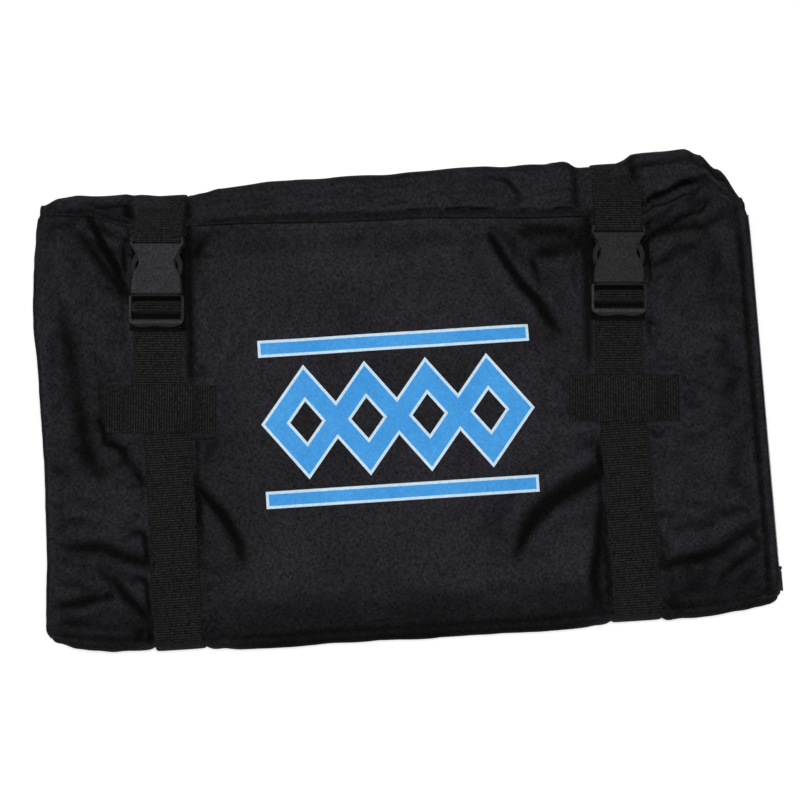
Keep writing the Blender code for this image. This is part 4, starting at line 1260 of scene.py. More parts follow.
def rear_change(stations, x):
    """Movement of the rear cover in the solver, kept where it has room: the top fold and below."""
    moved = swollen(rear_stations, stations, x, pressure=2.0, slack=0.010, cap=4 * MM)
    out = stations[:, 3][:, None, None]
    y = stations[:, 0][:, None, None]
    room = np.where(out > LEVEL, 0.3 * ease((y - 0.205) / 0.02), np.where(out < -LEVEL, 0.15, 0.35))
    return moved * room


rear = rear_stations(REAR_STEP)
rear_outer, rear_inner, rear_uv = cover(rear, REAR_STEP, 0.0, False, rear_puff, rear_change)
rear_outer, rear_inner = shape_rear(rear_outer), shape_rear(rear_inner)
rear_outer[..., 2] = np.maximum(rear_outer[..., 2], 0.25 * MM)
hem_here = hem_line(rear_outer[..., 0])
under_flap = (rear_outer[..., 1] < hem_here + 0.5 * MM) & (rear_outer[..., 2] > MIDDLE_TOP)
rear_outer[..., 2] = np.where(under_flap, MIDDLE_TOP, rear_outer[..., 2])
# Dust and painted shade of the rear cover; the painted shade is eased off in a band just above the hem.
rear_dust_and_shade = dust_and_shade_from_slope(rear_outer, rear, 0.35, hem_here - 2 * MM)
above_hem = np.abs(rear_outer[..., 1] - hem_here - 3 * MM) < 6 * MM
rear_dust_and_shade = np.where(above_hem, np.maximum(rear_dust_and_shade, 0.6), rear_dust_and_shade)
rear_cover = close_pair("rear_cover", rear_outer, rear_inner, rear_uv, rear_dust_and_shade)
finish(rear_cover, OXFORD)
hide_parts("outer_wall")

# %% [markdown]
# ### Inner walls
#
# The bag's other wall lies inside the first, one layer deeper. It shows along the sides, and on the
# underside of the flap when the flap is open.

# %% Inner walls
LINING_STEP = STEP * 1.7


def lining_puff(x, y, stations):
    """Shallow dents only, because the inner walls are shut in between other layers."""
    return -np.abs(0.5 * MM * field(x, y, 0.08, 31))


outer, inner, uv = cover(front_stations(LINING_STEP), LINING_STEP, LAYER, True, lining_puff)
flap_lining = close_pair("flap_lining", shape_front(squeeze(outer)), shape_front(squeeze(inner)), uv)
finish(flap_lining, OXFORD)
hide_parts("flap_inner_wall", "fold_inner_wall")

outer, inner, uv = cover(rear_stations(LINING_STEP), LINING_STEP, LAYER, False, lining_puff)
rear_lining = close_pair("rear_lining", shape_rear(outer), shape_rear(inner), uv)
finish(rear_lining, OXFORD)
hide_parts("inner_wall")

# %% [markdown]
# ## Ribbons
#
# Webbing, binding and the zip's tapes are all a flat section carried along a path. At every point of
# the path the section needs a direction across and a direction out, and the third is along. The
# section is a flat oval with square-ish edges, and webbing also has ribs: its thickness swells and
# shrinks along the path, once for every weft cord.

# %% Ribbon builder
END_ROUND = 0.8 * MM


def smooth_path(points, step, side=(0.0, 0.0, 1.0)):
    """Resample a path and its side directions at even steps on a Catmull-Rom curve."""
    points = np.array(points, float)
    side = np.broadcast_to(np.array(side, float), points.shape)
    reach = travel(points)
    fine = np.linspace(0, reach[-1], max(2, int(round(reach[-1] / step)) + 1))
    matrix = resampler(reach, fine)
    return matrix @ points, matrix @ side, fine


def across_path(path, side):
    """Unit vectors across and out of a path whose ribbon lies across a side direction."""
    along = unit(np.gradient(path, axis=0))
    side = unit(side - (side * along).sum(1, keepdims=True) * along)
    return side, np.cross(side, along)


def section(columns):
    """Places from -1 to 1 across a ribbon, closer together towards its edges."""
    return np.sin(np.linspace(-math.pi / 2, math.pi / 2, columns))


def ribbon(name, path, side, width, thickness, step, rib=0.0, columns=13, lit=None):
    """Carry a flat oval along a path: P = path + side * w(u) + out * h(u, s)."""
    path, side, run = smooth_path(path, step, side)
    side, out = across_path(path, side)
    u = section(columns)
    round_off = (1 - np.abs(u) ** 8) ** 0.5
    cord = np.cos(math.tau * run / CORD_PITCH)[:, None]
    end = rim_share((np.minimum(run, run[-1] - run) + 0.02 * MM) * RIM / END_ROUND)[:, None]
    half = thickness / 2 * round_off * end
    rise = rib * (0.5 + 0.5 * cord) * round_off * end - rib * round_off * end
    span = width / 2 * u[None, :] * (1 + 0.004 * cord)
    spine = path[:, None] + side[:, None] * span[..., None]
    height = out[:, None] * (half + rise)[..., None]
    dust_and_shade = None if lit is None else PLAIN_DUST_AND_SHADE * np.broadcast_to(lit(path)[:, None], spine.shape[:2])
    return close_pair(name, spine + height, spine - height, grid_of(width / 2 * u, run), dust_and_shade, both=True)


def along_x(stations, x, depth):
    """A path at one X and depth along stations."""
    return lay(stations, np.array([x]), depth)[:, 0]


# %% [markdown]
# ## Sides of the bag
#
# On the left the cloth simply turns from one wall into the other, so the side is a round roll over
# both edges. On the right the walls end in zip tapes with the teeth between them. Both follow the
# letter fold, and both are split where the flap's joint is: one piece bends round the bottom fold,
# the other stays with the rest.

# %% Closed side and zip tapes
MID_DEPTH = WALL + (LAYER - WALL) / 2
SECTIONS = {
    "flap": (front_stations(STEP), shape_front, True),
    "rear": (rear_stations(STEP), shape_rear, False),
}


def edge_path(stations, shaper, squeezed, x):
    """The seam line between the two walls at one side, moved with the outline and thinned."""
    path = shaper(along_x(stations, x, MID_DEPTH)[:, None])[:, 0]
    return squeeze(path) if squeezed else path


def outward_at(stations, count):
    """The stations' outward directions as 3-D vectors, read at evenly spaced places."""
    out = np.stack([stations[:, 2] * 0, stations[:, 2], stations[:, 3]], axis=1)
    run = travel(stations[:, :2])
    return resampler(run, np.linspace(0, run[-1], count)) @ out


def side_ribbon(name, stations, shaper, squeezed, x, thickness):
    """A ribbon that stands on edge along one side of the bag."""
    path, _, fine = smooth_path(edge_path(stations, shaper, squeezed, x), 2.5 * MM)
    out = outward_at(stations, len(fine))
    u = section(13)
    round_off = np.sqrt(1 - u**2 * 0.999)
    lost = thinning(path[:, 0], path[:, 1]) * (path[:, 2] > lining_low[2]) * squeezed
    half_width = (POUCH / 2 * (1 - lost))[:, None]
    pucker = 1 + 0.10 * field(fine, fine * 0, 0.018, 23)[:, None]
    spine = path[:, None] + out[:, None] * (half_width * u)[..., None]
    bulge = ALONG_X * (thickness / 2 * round_off * pucker)[..., None]
    return close_pair(name, spine + bulge, spine - bulge, grid_of(POUCH / 2 * u, fine))


side_low, side_high = corners("closed_side")
closed_x = (side_low[0] + side_high[0] + 2 * MM) / 2
closed_thickness = side_high[0] - side_low[0] + 2 * MM
edges = {}
for where, part in SECTIONS.items():
    roll = side_ribbon(where + "_closed_edge", *part, closed_x, closed_thickness)
    tape = side_ribbon(where + "_zip_tape", *part, RIGHT - 0.2 * MM, 1.6 * MM)
    edges[where] = (finish(roll, OXFORD), finish(tape, BINDING))
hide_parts("flap_closed_side", "fold_closed_side")
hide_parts("closed_side")

# %% [markdown]
# ## Zip teeth
#
# A moulded zip has two rows of small blocks that reach over the middle in turn. One tooth is made
# once as a rounded block of a few dozen faces, and copied along the seam line by giving every copy
# its own three directions.

# %% Zip teeth
chain_low, chain_high = corners("zip_chain")
TOOTH_PITCH = 2.6 * MM
TOOTH_REACH = 0.85 * MM
TOOTH = np.array([1.05 * MM, 3.5 * MM, chain_high[0] - chain_low[0]])


def tooth_shape():
    """Points and faces of a block whose outer face is smaller than its foot, centred on zero."""
    shape = bmesh.new()
    bmesh.ops.create_cube(shape, size=1.0)
    bmesh.ops.bevel(shape, geom=shape.edges, offset=0.16, segments=1, profile=0.5, affect="EDGES")
    points = np.array([v.co for v in shape.verts])
    faces = [[v.index for v in f.verts] for f in shape.faces]
    shape.free()
    return points * TOOTH, faces


def instances(name, base, faces, places, directions):
    """Copy one small mesh to many places; directions holds three unit vectors for each copy."""
    points = np.einsum("vk,nkc->nvc", base, directions) + places[:, None]
    count = len(base)
    every = [[i + copy * count for i in face] for copy in range(len(places)) for face in faces]
    return to_scene(name, mesh_of(name, points, every, PLAIN_DUST_AND_SHADE))


def zip_teeth(name, stations, shaper, squeezed):
    """Two rows of teeth along the right side's seam line."""
    path = edge_path(stations, shaper, squeezed, (chain_low[0] + chain_high[0]) / 2)
    path, _, run = smooth_path(path[1:-1], TOOTH_PITCH / 2)
    out = outward_at(stations, len(run))
    along = unit(np.gradient(path, axis=0))
    row = np.where(np.arange(len(run)) % 2 == 0, 1.0, -1.0)[:, None]
    directions = np.stack([along, out, np.broadcast_to(ALONG_X, along.shape)], axis=1)
    teeth = instances(name, *tooth_shape(), path + out * row * TOOTH_REACH, directions)
    return finish(teeth, ZIP_PLASTIC)


flap_zip = zip_teeth("flap_zip", *SECTIONS["flap"])
rear_zip = zip_teeth("rear_zip", *SECTIONS["rear"])
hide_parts("flap_zip_chain", "fold_zip_chain")
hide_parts("zip_chain")

# %% [markdown]
# ## Hem and hidden end
#
# Both short ends of the bag are closed by a binding tape that lies over the edges of the two walls.

# %% Binding tapes
TAPE_THICKNESS = 3.4 * MM


def end_tape(name, node, y, height, tall, shaper):
    """A rounded strip across the bag at one end, moved with the outline."""
    x = np.linspace(LEFT - 1 * MM, RIGHT, 160)
    path = np.stack([x, np.full(len(x), y), np.full(len(x), height)], axis=1)
    path = shaper(path[:, None])[:, 0]
    path[:, 1] += 0.25 * MM * field(x, x * 0, 0.03, 41)
    tape = finish(ribbon(name, path, UP, tall, TAPE_THICKNESS, 2.5 * MM), BINDING)
    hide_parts(node)
    return tape


tall = POUCH * (1 - HEM_SQUEEZE)
hem_tape = end_tape("hem_binding", "flap_hem_tape", HEM, lining_low[2] + tall / 2, tall, shape_front)
end_low, end_high = corners("middle_hem_tape")
tall = end_high[2] - end_low[2]
height = (end_low[2] + end_high[2]) / 2
hidden_tape = end_tape(
    "hidden_end_binding", "middle_hem_tape", end_low[1] + 1 * MM, height, tall, shape_rear
)

# %% [markdown]
# ## Straps
#
# Each strap is one run of webbing in three lengths. The sewn length starts under the keeper, runs
# down the flap and round the bottom fold. The back length runs under the bag, over the top fold and
# up to the socket, where it goes round a bar and is sewn to itself. The adjusting length comes out
# from under the keeper, goes up through the ladder frame of the plug, round its bar and back down.

# %% Sewn straps
sewn_low, sewn_high = corners("left_lower_strap")
back_low, back_high = corners("left_back_strap")
WEB = sewn_high[2] - sewn_low[2]
WEB_WIDTH = back_high[0] - back_low[0]
LIFT = sewn_low[2] - FLAP_TOP + WEB / 2
RIB = 0.32 * MM
WEB_STEP = 0.65 * MM


def webbing_run(name, path, side, width=WEB_WIDTH, columns=15, lit=None):
    """A run of webbing: a ribbon with ribs."""
    made = ribbon(name, path, side, width, WEB, WEB_STEP, rib=RIB, columns=columns, lit=lit)
    return finish(made, WEBBING)


def strap_middle(side):
    """X of the middle of a strap."""
    low, high = corners(side + "_back_strap")
    return (low[0] + high[0]) / 2


def sewn_strap(side):
    """From under the keeper, down the flap and round the bottom fold."""
    x = strap_middle(side)
    stations = front_stations(STEP)
    stations = stations[stations[:, 0] < corners(side + "_lower_strap")[1][1]]
    path = along_x(stations, x, -LIFT)
    path[:, 1] += (through(BOTTOM_EDGE, np.array([x])) + 1.5 * MM) * near_bottom(path[:, 1])
    return webbing_run(side + "_sewn_strap", path, ALONG_X)


for side in SIDES:
    strap = sewn_strap(side)
    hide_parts(side + "_lower_strap", side + "_fold_strap")
    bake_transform(strap)

# %% [markdown]
# The straps that carry the buckles are laid out in the buckle's own frame: along it, across it, and
# up. The socket's bar and the plug's bar set where the webbing turns.

# %% Bars and turns
SOCKET_BAR = (56.2 * MM, 60.4 * MM)
SOCKET_BAR_HALF = 2.5 * MM
FRAME_BAR = (-18.2 * MM, -9.4 * MM)
FRAME_OUTER = -26.5 * MM
FRAME_BAR_HALF = 1.6 * MM


def quarter(centre, radius, start, end):
    """Points (along, height) on a turn round a bar's corner."""
    angle = np.radians(np.linspace(start, end, 5))
    return [(centre[0] + radius * math.cos(a), centre[1] + radius * math.sin(a)) for a in angle]


def in_buckle(side, profile):
    """Turn (along, height) pairs in a buckle's frame into points."""
    mouth, along, _ = buckle(side)
    profile = np.array(profile)
    points = mouth + profile[:, :1] * along
    points[:, 2] = mouth[2] + profile[:, 1]
    return points


# %% [markdown]
# The back length runs under the bag, turns over the top fold and rises to the socket's bar. Over the
# hem it has a knee, because it lies on the flap there. Past the bar it comes back under itself.

# %% Back and upper strap
CREST = MIDDLE_TOP + LIFT
SHIFTS_OVER = 0.22
SEWN_END = 24 * MM
CLOSES_OVER = 15 * MM


def back_strap(side):
    """Under the bag, over the top fold, up to the socket's bar, round it and back a little way."""
    mouth, along, across = buckle(side)
    x = strap_middle(side)
    stations = rear_stations(STEP)
    under = along_x(stations[stations[:, 3] < 0.0], x, -LIFT)
    bar = SOCKET_BAR[1]
    high = SOCKET_BAR_HALF + LIFT
    end = (TOP_CENTRE[0] - mouth[1]) / along[1]
    crest = CREST - mouth[2]
    knee = (corners("flap_hem_tape")[1][1] - mouth[1]) / along[1] + 2.5 * MM
    knee_height = FLAP_TOP + 2 * LIFT + 2.2 * MM - mouth[2]
    knee_height = max(knee_height, crest + (high - crest) * (end - knee) / (end - bar))

    def height(v):
        """Height of the strap between the socket's bar, the knee at the hem and the top fold."""
        near = high + (knee_height - high) * ease((v - bar) / (knee - bar))
        far = knee_height + (crest - knee_height) * ease((v - knee) / (end - knee))
        return float(near if v < knee else far)

    radius = TOP_RADIUS + LIFT
    turn = [
        (end + radius * math.sin(a), crest - radius * (1 - math.cos(a)))
        for a in np.radians(np.linspace(85, 0, 10))
    ]
    rise = [(v, height(v)) for v in np.linspace(end, bar, 18)[1:]]
    wrap = quarter((SOCKET_BAR[0], SOCKET_BAR_HALF), LIFT, 90, 180)
    wrap += quarter((SOCKET_BAR[0], -SOCKET_BAR_HALF), LIFT, 180, 270)
    back = []
    for v in np.linspace(bar, bar + SEWN_END, 9):
        close = ease((v - bar) / CLOSES_OVER)
        drop = 2 * high * (1 - close) + (WEB + 0.4 * MM) * 1.08 * close
        back.append((v, height(v) - float(drop)))
    profile = turn + rise + wrap + back
    upper = in_buckle(side, profile)
    lean = ease((np.array(profile)[:, 0] - bar) / (end - bar))[:, None]
    sides = across * (1 - lean) + ALONG_X * lean
    under[:, 0] += ease(under[:, 1] / SHIFTS_OVER) * (upper[0, 0] - x)
    joined = drape_over_top(np.concatenate([under, upper]))
    sides = np.concatenate([np.tile(ALONG_X, (len(under), 1)), sides])
    made = webbing_run(side + "_back_strap_run", joined, sides)
    first = len(under) + len(turn)
    return made, joined[first : first + len(rise)]


upper_runs = {}
for side in SIDES:
    strap, upper_runs[side] = back_strap(side)
    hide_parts(side + "_back_strap", side + "_upper_strap")
    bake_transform(strap)

# %% [markdown]
# The adjusting length comes up between the frame's rails, wraps the bar and goes back down onto
# itself. In the frame's slot and past its rail the webbing is painted near-black as shade.

# %% Adjusting strap
LOWER_END = -118.5 * MM
UPPER_END = -133 * MM
SLOT = (-42 * MM, -18.6 * MM)
BAR_EDGE = -21 * MM
BENDS_FROM = 0.100
BENDS_TO = 0.045


def adjusting_strap(side):
    """From under the keeper, up through the plug's ladder frame, round its bar and back down."""
    mouth, along, across = buckle(side)
    low = corners(side + "_lower_strap")[0][2] + WEB / 2 - mouth[2]
    high = low + WEB + 0.3 * MM
    bar_low, bar_high = FRAME_BAR
    profile = [(v, low) for v in np.linspace(LOWER_END, bar_low + WEB, 14)]
    profile += [(bar_high - 3.2 * MM, low + 0.2 * MM), (bar_high - 0.1 * MM, low + 1.7 * MM)]
    profile += [(bar_high + LIFT, -FRAME_BAR_HALF)]
    profile += quarter((bar_high, FRAME_BAR_HALF), LIFT, 0, 90)
    profile += quarter((bar_low, FRAME_BAR_HALF), LIFT, 90, 180)
    profile += [(bar_low - 2.0 * MM, -FRAME_BAR_HALF - 0.1 * MM), (bar_low - 4.4 * MM, high + 0.5 * MM)]
    profile += [(v, high) for v in np.linspace(FRAME_OUTER - 1 * MM, UPPER_END, 14)]

    def painted_slot_shade(points):
        """Share of the colour left by painted shade: little in the frame's slot, a bit less than all over
        the bar.
        """
        v = (points - mouth) @ along
        slot = ease((v - SLOT[0]) / (4 * MM)) * ease((SLOT[1] - v) / (2.5 * MM))
        over_bar = ease((v - BAR_EDGE) / (2 * MM))
        return 1 - 0.95 * slot - 0.1 * over_bar

    return webbing_run(side + "_adjusting_strap_run", in_buckle(side, profile), across, lit=painted_slot_shade)


for side in SIDES:
    strap = adjusting_strap(side)
    mouth, along, _ = buckle(side)
    bend = (tuple(mouth - along * reach) for reach in (BENDS_FROM, BENDS_TO))
    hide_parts(side + "_adjusting_strap")
    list(bend)
    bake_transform(strap)

# %% [markdown]
# ## Keepers
#
# A keeper is a short length of the same webbing, sewn across the straps at both ends with a tunnel
# between. Its ends lie on the cloth, so they follow it, and its ribs run up and down.

# %% Keepers
TUNNEL_HALF = 33.2 * MM
RAMP = 4.8 * MM
KEEPER_WIDTH = 50 * MM


def keeper(side):
    """A cross patch: wings on the cloth, ramps, and a tunnel over both straps."""
    low, high = corners(side + "_keeper")
    _, along, across = buckle(side)
    reach = (high[0] - low[0] - KEEPER_WIDTH * math.sin(LEAN)) / 2 / math.cos(LEAN)
    bottom, top = low[2] + WEB / 2, high[2] - WEB / 2
    u = np.linspace(-reach, reach, 60)
    path = (low + high) / 2 + u[:, None] * across
    path[:, 2] = bottom + (top - bottom) * ease((TUNNEL_HALF + RAMP - np.abs(u)) / RAMP)
    return webbing_run(side + "_keeper_patch", path, -along, KEEPER_WIDTH, 21)


for side in SIDES:
    patch = keeper(side)
    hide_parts(side + "_keeper")
    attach(patch, "flap")

# %% [markdown]
# ## The print
#
# The print is film on the cloth, so it has to follow every bulge. Its outline is drawn flat, each
# band as a strip of points, and every point is then looked up on the flap's grid: the grid place
# whose X and Y match is found in a few corrections, and its height is read there. The stitching is
# laid with the same look-up. The motif is a plain row of diamonds between two lines.

# %% Height of the flap at any place
CORRECTIONS = 6


def read_grid(grid, row, column):
    """Bilinear reading of a grid at fractional rows and columns."""
    r = np.clip(row.astype(int), 0, grid.shape[0] - 2)
    c = np.clip(column.astype(int), 0, grid.shape[1] - 2)
    a, b = (row - r)[..., None], (column - c)[..., None]
    top = grid[r, c] * (1 - b) + grid[r, c + 1] * b
    low = grid[r + 1, c] * (1 - b) + grid[r + 1, c + 1] * b
    return top * (1 - a) + low * a


flap_rows = int((front[:, 3] > 0.999).sum())
flap_grid = front_outer[:flap_rows]
flap_run = travel(front[:, :2])[:flap_rows]
flap_x = spread(LEFT, RIGHT, STEP, True, True)
print("flap grid:", flap_rows, "rows of", len(flap_x))


def on_flap(x, y):
    """Points on the flap's outer face above the given places."""
    guess_x = np.array(x, float)
    guess_run = HEM - np.array(y, float)
    for _ in range(CORRECTIONS):
        row = np.interp(guess_run, flap_run, np.arange(flap_rows))
        column = np.interp(guess_x, flap_x, np.arange(len(flap_x)))
        point = read_grid(flap_grid, row, column)
        guess_x = guess_x + (x - point[..., 0])
        guess_run = guess_run - (y - point[..., 1])
    return point


# %% [markdown]
# ## Stitching
#
# Black thread on black cloth hardly shows, but each stitch catches a little light and presses a small
# dent. One stitch is made as a short thread whose ends dip into the cloth, and copied along the rows:
# the hem, the line inside the zip side, the keepers' ends and the edges of the sewn straps.

# %% Stitches
STITCH = 3.1 * MM
STITCH_GAP = 1.0 * MM
STITCH_LIFT = 0.15 * MM
THREAD_RADIUS = 0.36 * MM
THREAD_SIDES = 6
ROW_INSET = 6 * MM


def stitch_shape():
    """Rings of six points along X: radius r(s), and height -0.5 mm * s^4 so that both ends dip."""
    s = np.array([-1.0, -0.75, 0.0, 0.75, 1.0])
    radius = THREAD_RADIUS * np.array([0.5, 0.95, 1.0, 0.95, 0.5])
    angle = np.arange(THREAD_SIDES) * math.tau / THREAD_SIDES
    points = np.empty((len(s), THREAD_SIDES, 3))
    points[..., 0] = s[:, None] * STITCH / 2
    points[..., 1] = radius[:, None] * np.cos(angle)
    points[..., 2] = radius[:, None] * np.sin(angle) - 0.5 * MM * s[:, None] ** 4
    index = np.arange(len(s) * THREAD_SIDES).reshape(len(s), THREAD_SIDES)
    after = np.roll(index, -1, axis=1)
    sides = np.stack([index[:-1], after[:-1], after[1:], index[1:]], axis=-1).reshape(-1, 4)
    return points.reshape(-1, 3), sides.tolist() + [index[0, ::-1].tolist(), index[-1].tolist()]


def sew(name, lines, surface, body):
    """Rows of stitches on a surface, each from the surface at its start to that at its end: how many."""
    starts, ends = [], []
    for line in lines:
        points = np.array(line, float)
        reach = travel(points)
        at = np.arange(STITCH_GAP, reach[-1] - STITCH, STITCH + STITCH_GAP)
        for rows, shift in ((starts, 0.0), (ends, STITCH)):
            rows.append(np.stack([np.interp(at + shift, reach, points[:, k]) for k in range(2)], axis=1))
    start, end = (surface(*np.concatenate(rows).T) for rows in (starts, ends))
    along = unit(end - start)
    side = unit(np.cross(UP, along))
    directions = np.stack([along, side, np.cross(along, side)], axis=1)
    made = finish(instances(name, *stitch_shape(), (start + end) / 2, directions), THREAD)
    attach(made, body)
    return len(start)


def level(height):
    """A flat surface at one height."""
    return lambda x, y: np.stack([x, y, x * 0 + height], axis=1)


def flap_surface(x, y):
    """The flap's face with a little lift for the thread."""
    return on_flap(x, y) + STITCH_LIFT * UP


def strap_surface(run):
    """The face of a strap along the middle points of its run."""
    run = run[np.argsort(run[:, 1])]

    def surface(x, y):
        """The strap's face at the nearest place along it."""
        return np.stack([x, y, np.interp(y, run[:, 1], run[:, 2]) + WEB / 2 + STITCH_LIFT], axis=1)

    return surface


def box_seam(middle, side, low, high, sign=1):
    """A rectangle with one diagonal in a buckle's directions, between two corners in millimetres."""
    _, along, across = buckle(side)
    corner = [low, (high[0], low[1]), high, (low[0], high[1]), low, high]
    return [middle[:2] + sign * u * MM * across[:2] + v * MM * along[:2] for u, v in corner]


across_bag = np.linspace(LEFT + ROW_INSET, RIGHT - ROW_INSET, 60)
hem_row = np.stack([across_bag, hem_line(across_bag) - STITCH_ROW], axis=1)
side_x = RIGHT - 20 * MM
side_row = [(side_x, hem_line(side_x) - STITCH_ROW), (side_x, flap_low[1] + ROW_INSET)]
count = sew("flap_topstitching", [hem_row, side_row], flap_surface, "flap")
keeper_top = level(corners("left_keeper")[0][2] + WEB + STITCH_LIFT)
strap_top = level(sewn_high[2] + STITCH_LIFT)
for side in SIDES:
    low, high = corners(side + "_keeper")
    wings = [box_seam((low + high) / 2, side, (39, -21.5), (54.5, 21.5), sign) for sign in (-1, 1)]
    sew(side + "_keeper_stitching", wings, keeper_top, "flap")
    low, high = corners(side + "_lower_strap")
    edge_x = (low[0] + 2.6 * MM, high[0] - 2.6 * MM)
    edge_rows = [[(x, low[1] + 2 * MM), (x, high[1] - 30 * MM)] for x in edge_x]
    sew(side + "_sewn_strap_stitching", edge_rows, strap_top, "flap")
    bars = [box_seam(buckle(side)[0], side, (-19, 66), (19, 83))]
    sew(side + "_upper_strap_stitching", bars, strap_surface(upper_runs[side]), side + "_tether")
print("stitches on the flap:", count)

# %% [markdown]
# The film has two layers: a pale one that is wider by the border, and the blue one on top. Every
# band is drawn along its middle line, with mitred corners.

# %% Print film
lattice_low, lattice_high = corners("print_lattice")
BORDER = 3.0 * MM
BAND = 18 * MM
DIAMONDS = 4
STRETCH_ROWS = 26
BAND_COLUMNS = 9


def band(corner, half, border, lift, closed):
    """A band of even width along straight stretches, with mitred corners, laid on the flap."""
    corner = np.array(corner, float)
    if closed:
        corner = np.concatenate([corner[-1:], corner, corner[:1]])
    way = unit(np.diff(corner, axis=0))
    if closed:
        before, after, corner = way[:-1], way[1:], corner[1:-1]
        before, after, corner = (np.concatenate([a, a[:1]]) for a in (before, after, corner))
    else:
        before, after = np.concatenate([way[:1], way]), np.concatenate([way, way[-1:]])
        corner[0] -= way[0] * border
        corner[-1] += way[-1] * border
    mitre = unit(before + after)
    normal = np.stack([-mitre[:, 1], mitre[:, 0]], axis=1)
    square = np.stack([-before[:, 1], before[:, 0]], axis=1)
    normal /= (normal * square).sum(1, keepdims=True)
    share = np.linspace(0, len(corner) - 1, STRETCH_ROWS * (len(corner) - 1) + 1)
    index = np.minimum(share.astype(int), len(corner) - 2)
    t = (share - index)[:, None]
    middle = corner[index] * (1 - t) + corner[index + 1] * t
    reach = normal[index] * (1 - t) + normal[index + 1] * t
    u = np.linspace(-1, 1, BAND_COLUMNS)
    flat = middle[:, None] + reach[:, None] * (u[None, :] * (half + border))[..., None]
    points = on_flap(flat[..., 0], flat[..., 1])
    points[..., 2] += lift
    return points, flat


def film(name, strips, material):
    """Join the strips into one thin film, each one its own grid."""
    points, faces, flats, count = [], [], [], 0
    for grid, flat in strips:
        rows, columns = grid.shape[:2]
        faces.append(grid_faces(rows, columns) + count)
        points.append(grid.reshape(-1, 3))
        flats.append(flat.reshape(-1, 2))
        count += rows * columns
    piece = new_piece(name, np.concatenate(points), np.concatenate(faces), np.concatenate(flats))
    upward = np.zeros(len(piece.data.polygons) * 3)
    piece.data.polygons.foreach_get("normal", upward)
    if upward[2::3].mean() < 0:
        piece.data.flip_normals()
    finish(piece, material)
    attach(piece, "flap")
    return piece


def diamond_size():
    """Half axes (a, b) so that four rings in a row just fill the lattice's box, found step by step."""
    width, height = (lattice_high - lattice_low)[:2]
    a, b = width / 8, height / 2
    for _ in range(30):
        slant = math.hypot(a, b)
        a = (width - BAND * slant / b) / (2 * DIAMONDS)
        b = (height - BAND * slant / a) / 2
    return a, b


def print_bands(border, lift):
    """A row of diamond rings between two lines."""
    middle = (lattice_low + lattice_high) / 2
    a, b = diamond_size()
    bands = []
    for k in range(DIAMONDS):
        x = middle[0] + (2 * k + 1 - DIAMONDS) * a
        ring = [(x - a, middle[1]), (x, middle[1] + b), (x + a, middle[1]), (x, middle[1] - b)]
        bands.append(band(ring, BAND / 2, border, lift + (k % 2) * 0.02 * MM, True))
    for node in ("print_upper_line", "print_lower_line"):
        low, high = corners(node)
        y = (low[1] + high[1]) / 2
        line = [(low[0], y), ((low[0] + high[0]) / 2, y), (high[0], y)]
        bands.append(band(line, (high[1] - low[1]) / 2, border, lift, False))
    return bands


film("print_border", print_bands(BORDER, 0.12 * MM), PALE_FILM)
blue_print = film("print_colour", print_bands(0.0, 0.22 * MM), BLUE_FILM)
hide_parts("print_lattice", "print_upper_line", "print_lower_line")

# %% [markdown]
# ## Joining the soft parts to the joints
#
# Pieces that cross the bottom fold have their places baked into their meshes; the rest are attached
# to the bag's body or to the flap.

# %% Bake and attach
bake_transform(flap_cover)
for piece in (flap_lining, *edges["flap"], flap_zip):
    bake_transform(piece)
for piece in (rear_cover, rear_lining, rear_zip, hidden_tape, *edges["rear"]):
    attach(piece, "root")
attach(hem_tape, "flap")

# %% [markdown]
# The mouldings that came with the model get their plastics by name. Each plug has its own, because
# its painted highlights are measured from its own mouth.

# %% Finish the hard parts
# The plug is coloured blacker than the sockets as painted shade, with a paler colour as painted highlights
# on its frame.
PLUG_SHADED_BLACK = (0.0040, 0.0040, 0.0045)
PLUG_HIGHLIGHT = (0.024, 0.024, 0.026)
plug_acetal = {}
for side in SIDES:
    plug_highlights = frame_highlights(*(tuple(part) for part in buckle(side)))
    plug_acetal[side] = make_moulding(side + "_plug_acetal", PLUG_SHADED_BLACK, PLUG_HIGHLIGHT, highlight_places=plug_highlights)


def plastic_for(name):
    """The moulding of a hard part, by its name."""
    if name.startswith("zip"):
        return ZIP_PLASTIC
    if name.endswith("arm"):
        return ARM_ACETAL
    side = name.split("_")[0]
    return plug_acetal[side] if name.endswith("plug") else ACETAL[side]


for name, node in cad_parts.items():
    if not node.hide_render:
        finish(node, plastic_for(name))

# %% [markdown]
# ## Stage, light and camera
#
# The bag lies on a white table and is seen almost straight down, turned a few degrees. Large soft
# lamps stand in for a window and a flash near the lens.

# %% Table
TABLE_SIZE = 6.0
TABLE_GLOW = 0.42


def seen_rays(tree):
    """1 for rays that come from the camera, or from it by a reflection or through glass."""
    rays = add_node(tree, "LightPath").outputs
    seen = calc(tree, "MAXIMUM", rays["Is Camera Ray"], rays["Is Glossy Ray"])
    return calc(tree, "MAXIMUM", seen, rays["Is Transmission Ray"])


def make_table():
    """A plain table that looks white to the camera and still takes the bag's shadow."""
    half = TABLE_SIZE / 2
    square = np.array([(-half, -half, 0), (half, -half, 0), (half, half, 0), (-half, half, 0)])
    table = to_scene("table", mesh_of("table", square, [(0, 1, 2, 3)]))
    table.location.z = -0.4 * MM
    material, tree, shader, _ = new_material("white_table")
    fill(
        tree,
        shader,
        Base_Color=(0.82, 0.82, 0.82, 1),
        Roughness=0.9,
        Specular_IOR_Level=0.1,
        Emission_Color=(1, 1, 1, 1),
        Emission_Strength=times(tree, seen_rays(tree), TABLE_GLOW),
    )
    table.data.materials.append(material)
    table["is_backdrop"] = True


make_table()
print("table:", TABLE_SIZE, "m wide")

# %% [markdown]
# One lamp stands close to the lens and leaves the walls of the folds dark. The other is a window at
# the upper left, and a faint light from all round fills the rest.

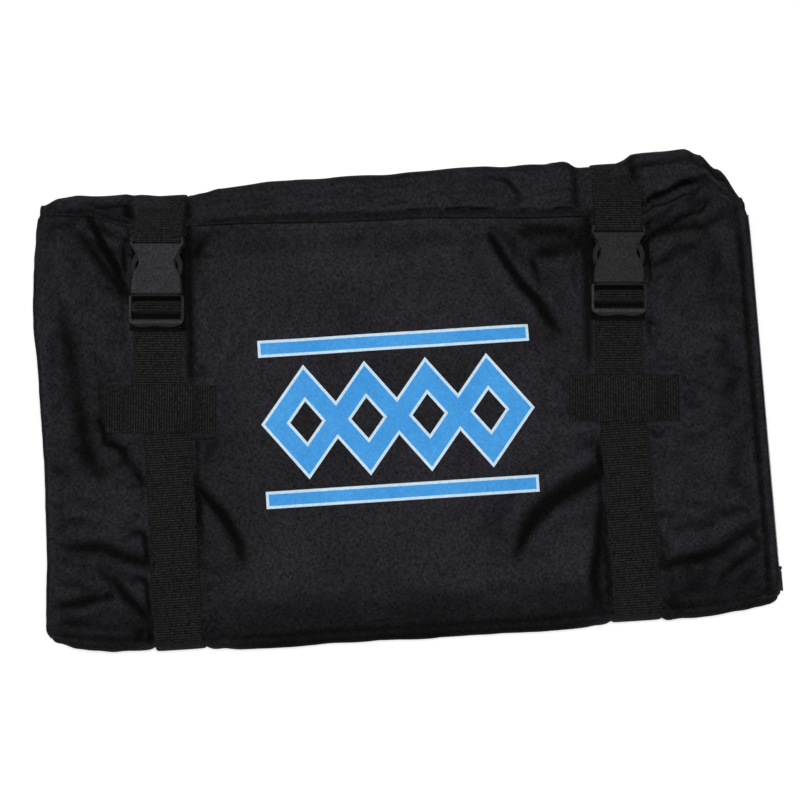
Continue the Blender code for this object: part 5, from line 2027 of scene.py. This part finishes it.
# %% Lamps and world
WORLD_LIGHT = 0.14


def add_lamp(name, place, size, power):
    """A square area lamp that faces the bag."""
    data = bpy.data.lights.new(name, "AREA")
    data.size = size
    data.energy = power
    lamp = to_scene(name, data)
    lamp.location = place
    lamp.rotation_euler = (-Vector(place)).to_track_quat("-Z", "Y").to_euler()


def make_world():
    """Soft light from all round, and plain white wherever the backdrop itself is seen."""
    world = bpy.data.worlds.new("room")
    world.use_nodes = True
    tree = world.node_tree
    strength = calc(tree, "MULTIPLY_ADD", seen_rays(tree), 1 - WORLD_LIGHT, WORLD_LIGHT)
    fill(tree, tree.nodes["Background"], Color=(1, 1, 1, 1), Strength=strength)
    bpy.context.scene.world = world


add_lamp("near_lens", (0.03, -0.08, 1.62), 0.35, 18)
add_lamp("window", (-1.15, 0.95, 1.30), 1.0, 7)
make_world()
print("world light:", WORLD_LIGHT)

# %% [markdown]
# The camera looks nearly straight down. It is turned by the few degrees that the buckles lean, so
# that they stand upright in the picture.

# %% Camera
TILT = math.radians(4.5)
LENS = 60
SENSOR = 36
VIEW_WIDTH = 0.84
AIM = np.array([-4.9 * MM, 5.6 * MM, FLAP_TOP])


def make_camera():
    """Look down at the flap, tipped a little towards the bottom fold and turned like the photograph."""
    data = bpy.data.cameras.new("camera")
    data.lens = LENS
    data.sensor_width = SENSOR
    camera = to_scene("camera", data)
    level_up = np.array([math.sin(LEAN), math.cos(LEAN), 0])
    back = UP * math.cos(TILT) - level_up * math.sin(TILT)
    up = level_up * math.cos(TILT) + UP * math.sin(TILT)
    distance = VIEW_WIDTH * LENS / SENSOR
    matrix = np.eye(4)
    matrix[:3] = np.stack([np.cross(up, back), up, back, AIM + back * distance], axis=1)
    camera.matrix_world = Matrix(matrix.tolist())
    bpy.context.scene.camera = camera


make_camera()
print("camera:", round(VIEW_WIDTH * LENS / SENSOR, 2), "m from the flap")
bpy.context.scene.view_settings.view_transform = "Standard"

# %% [markdown]
# Last, the box of the whole picture is printed.

# %% Print the box of the picture
low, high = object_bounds()
print("visual box, in metres:", [round(v, 4) for v in (*low, *high)])
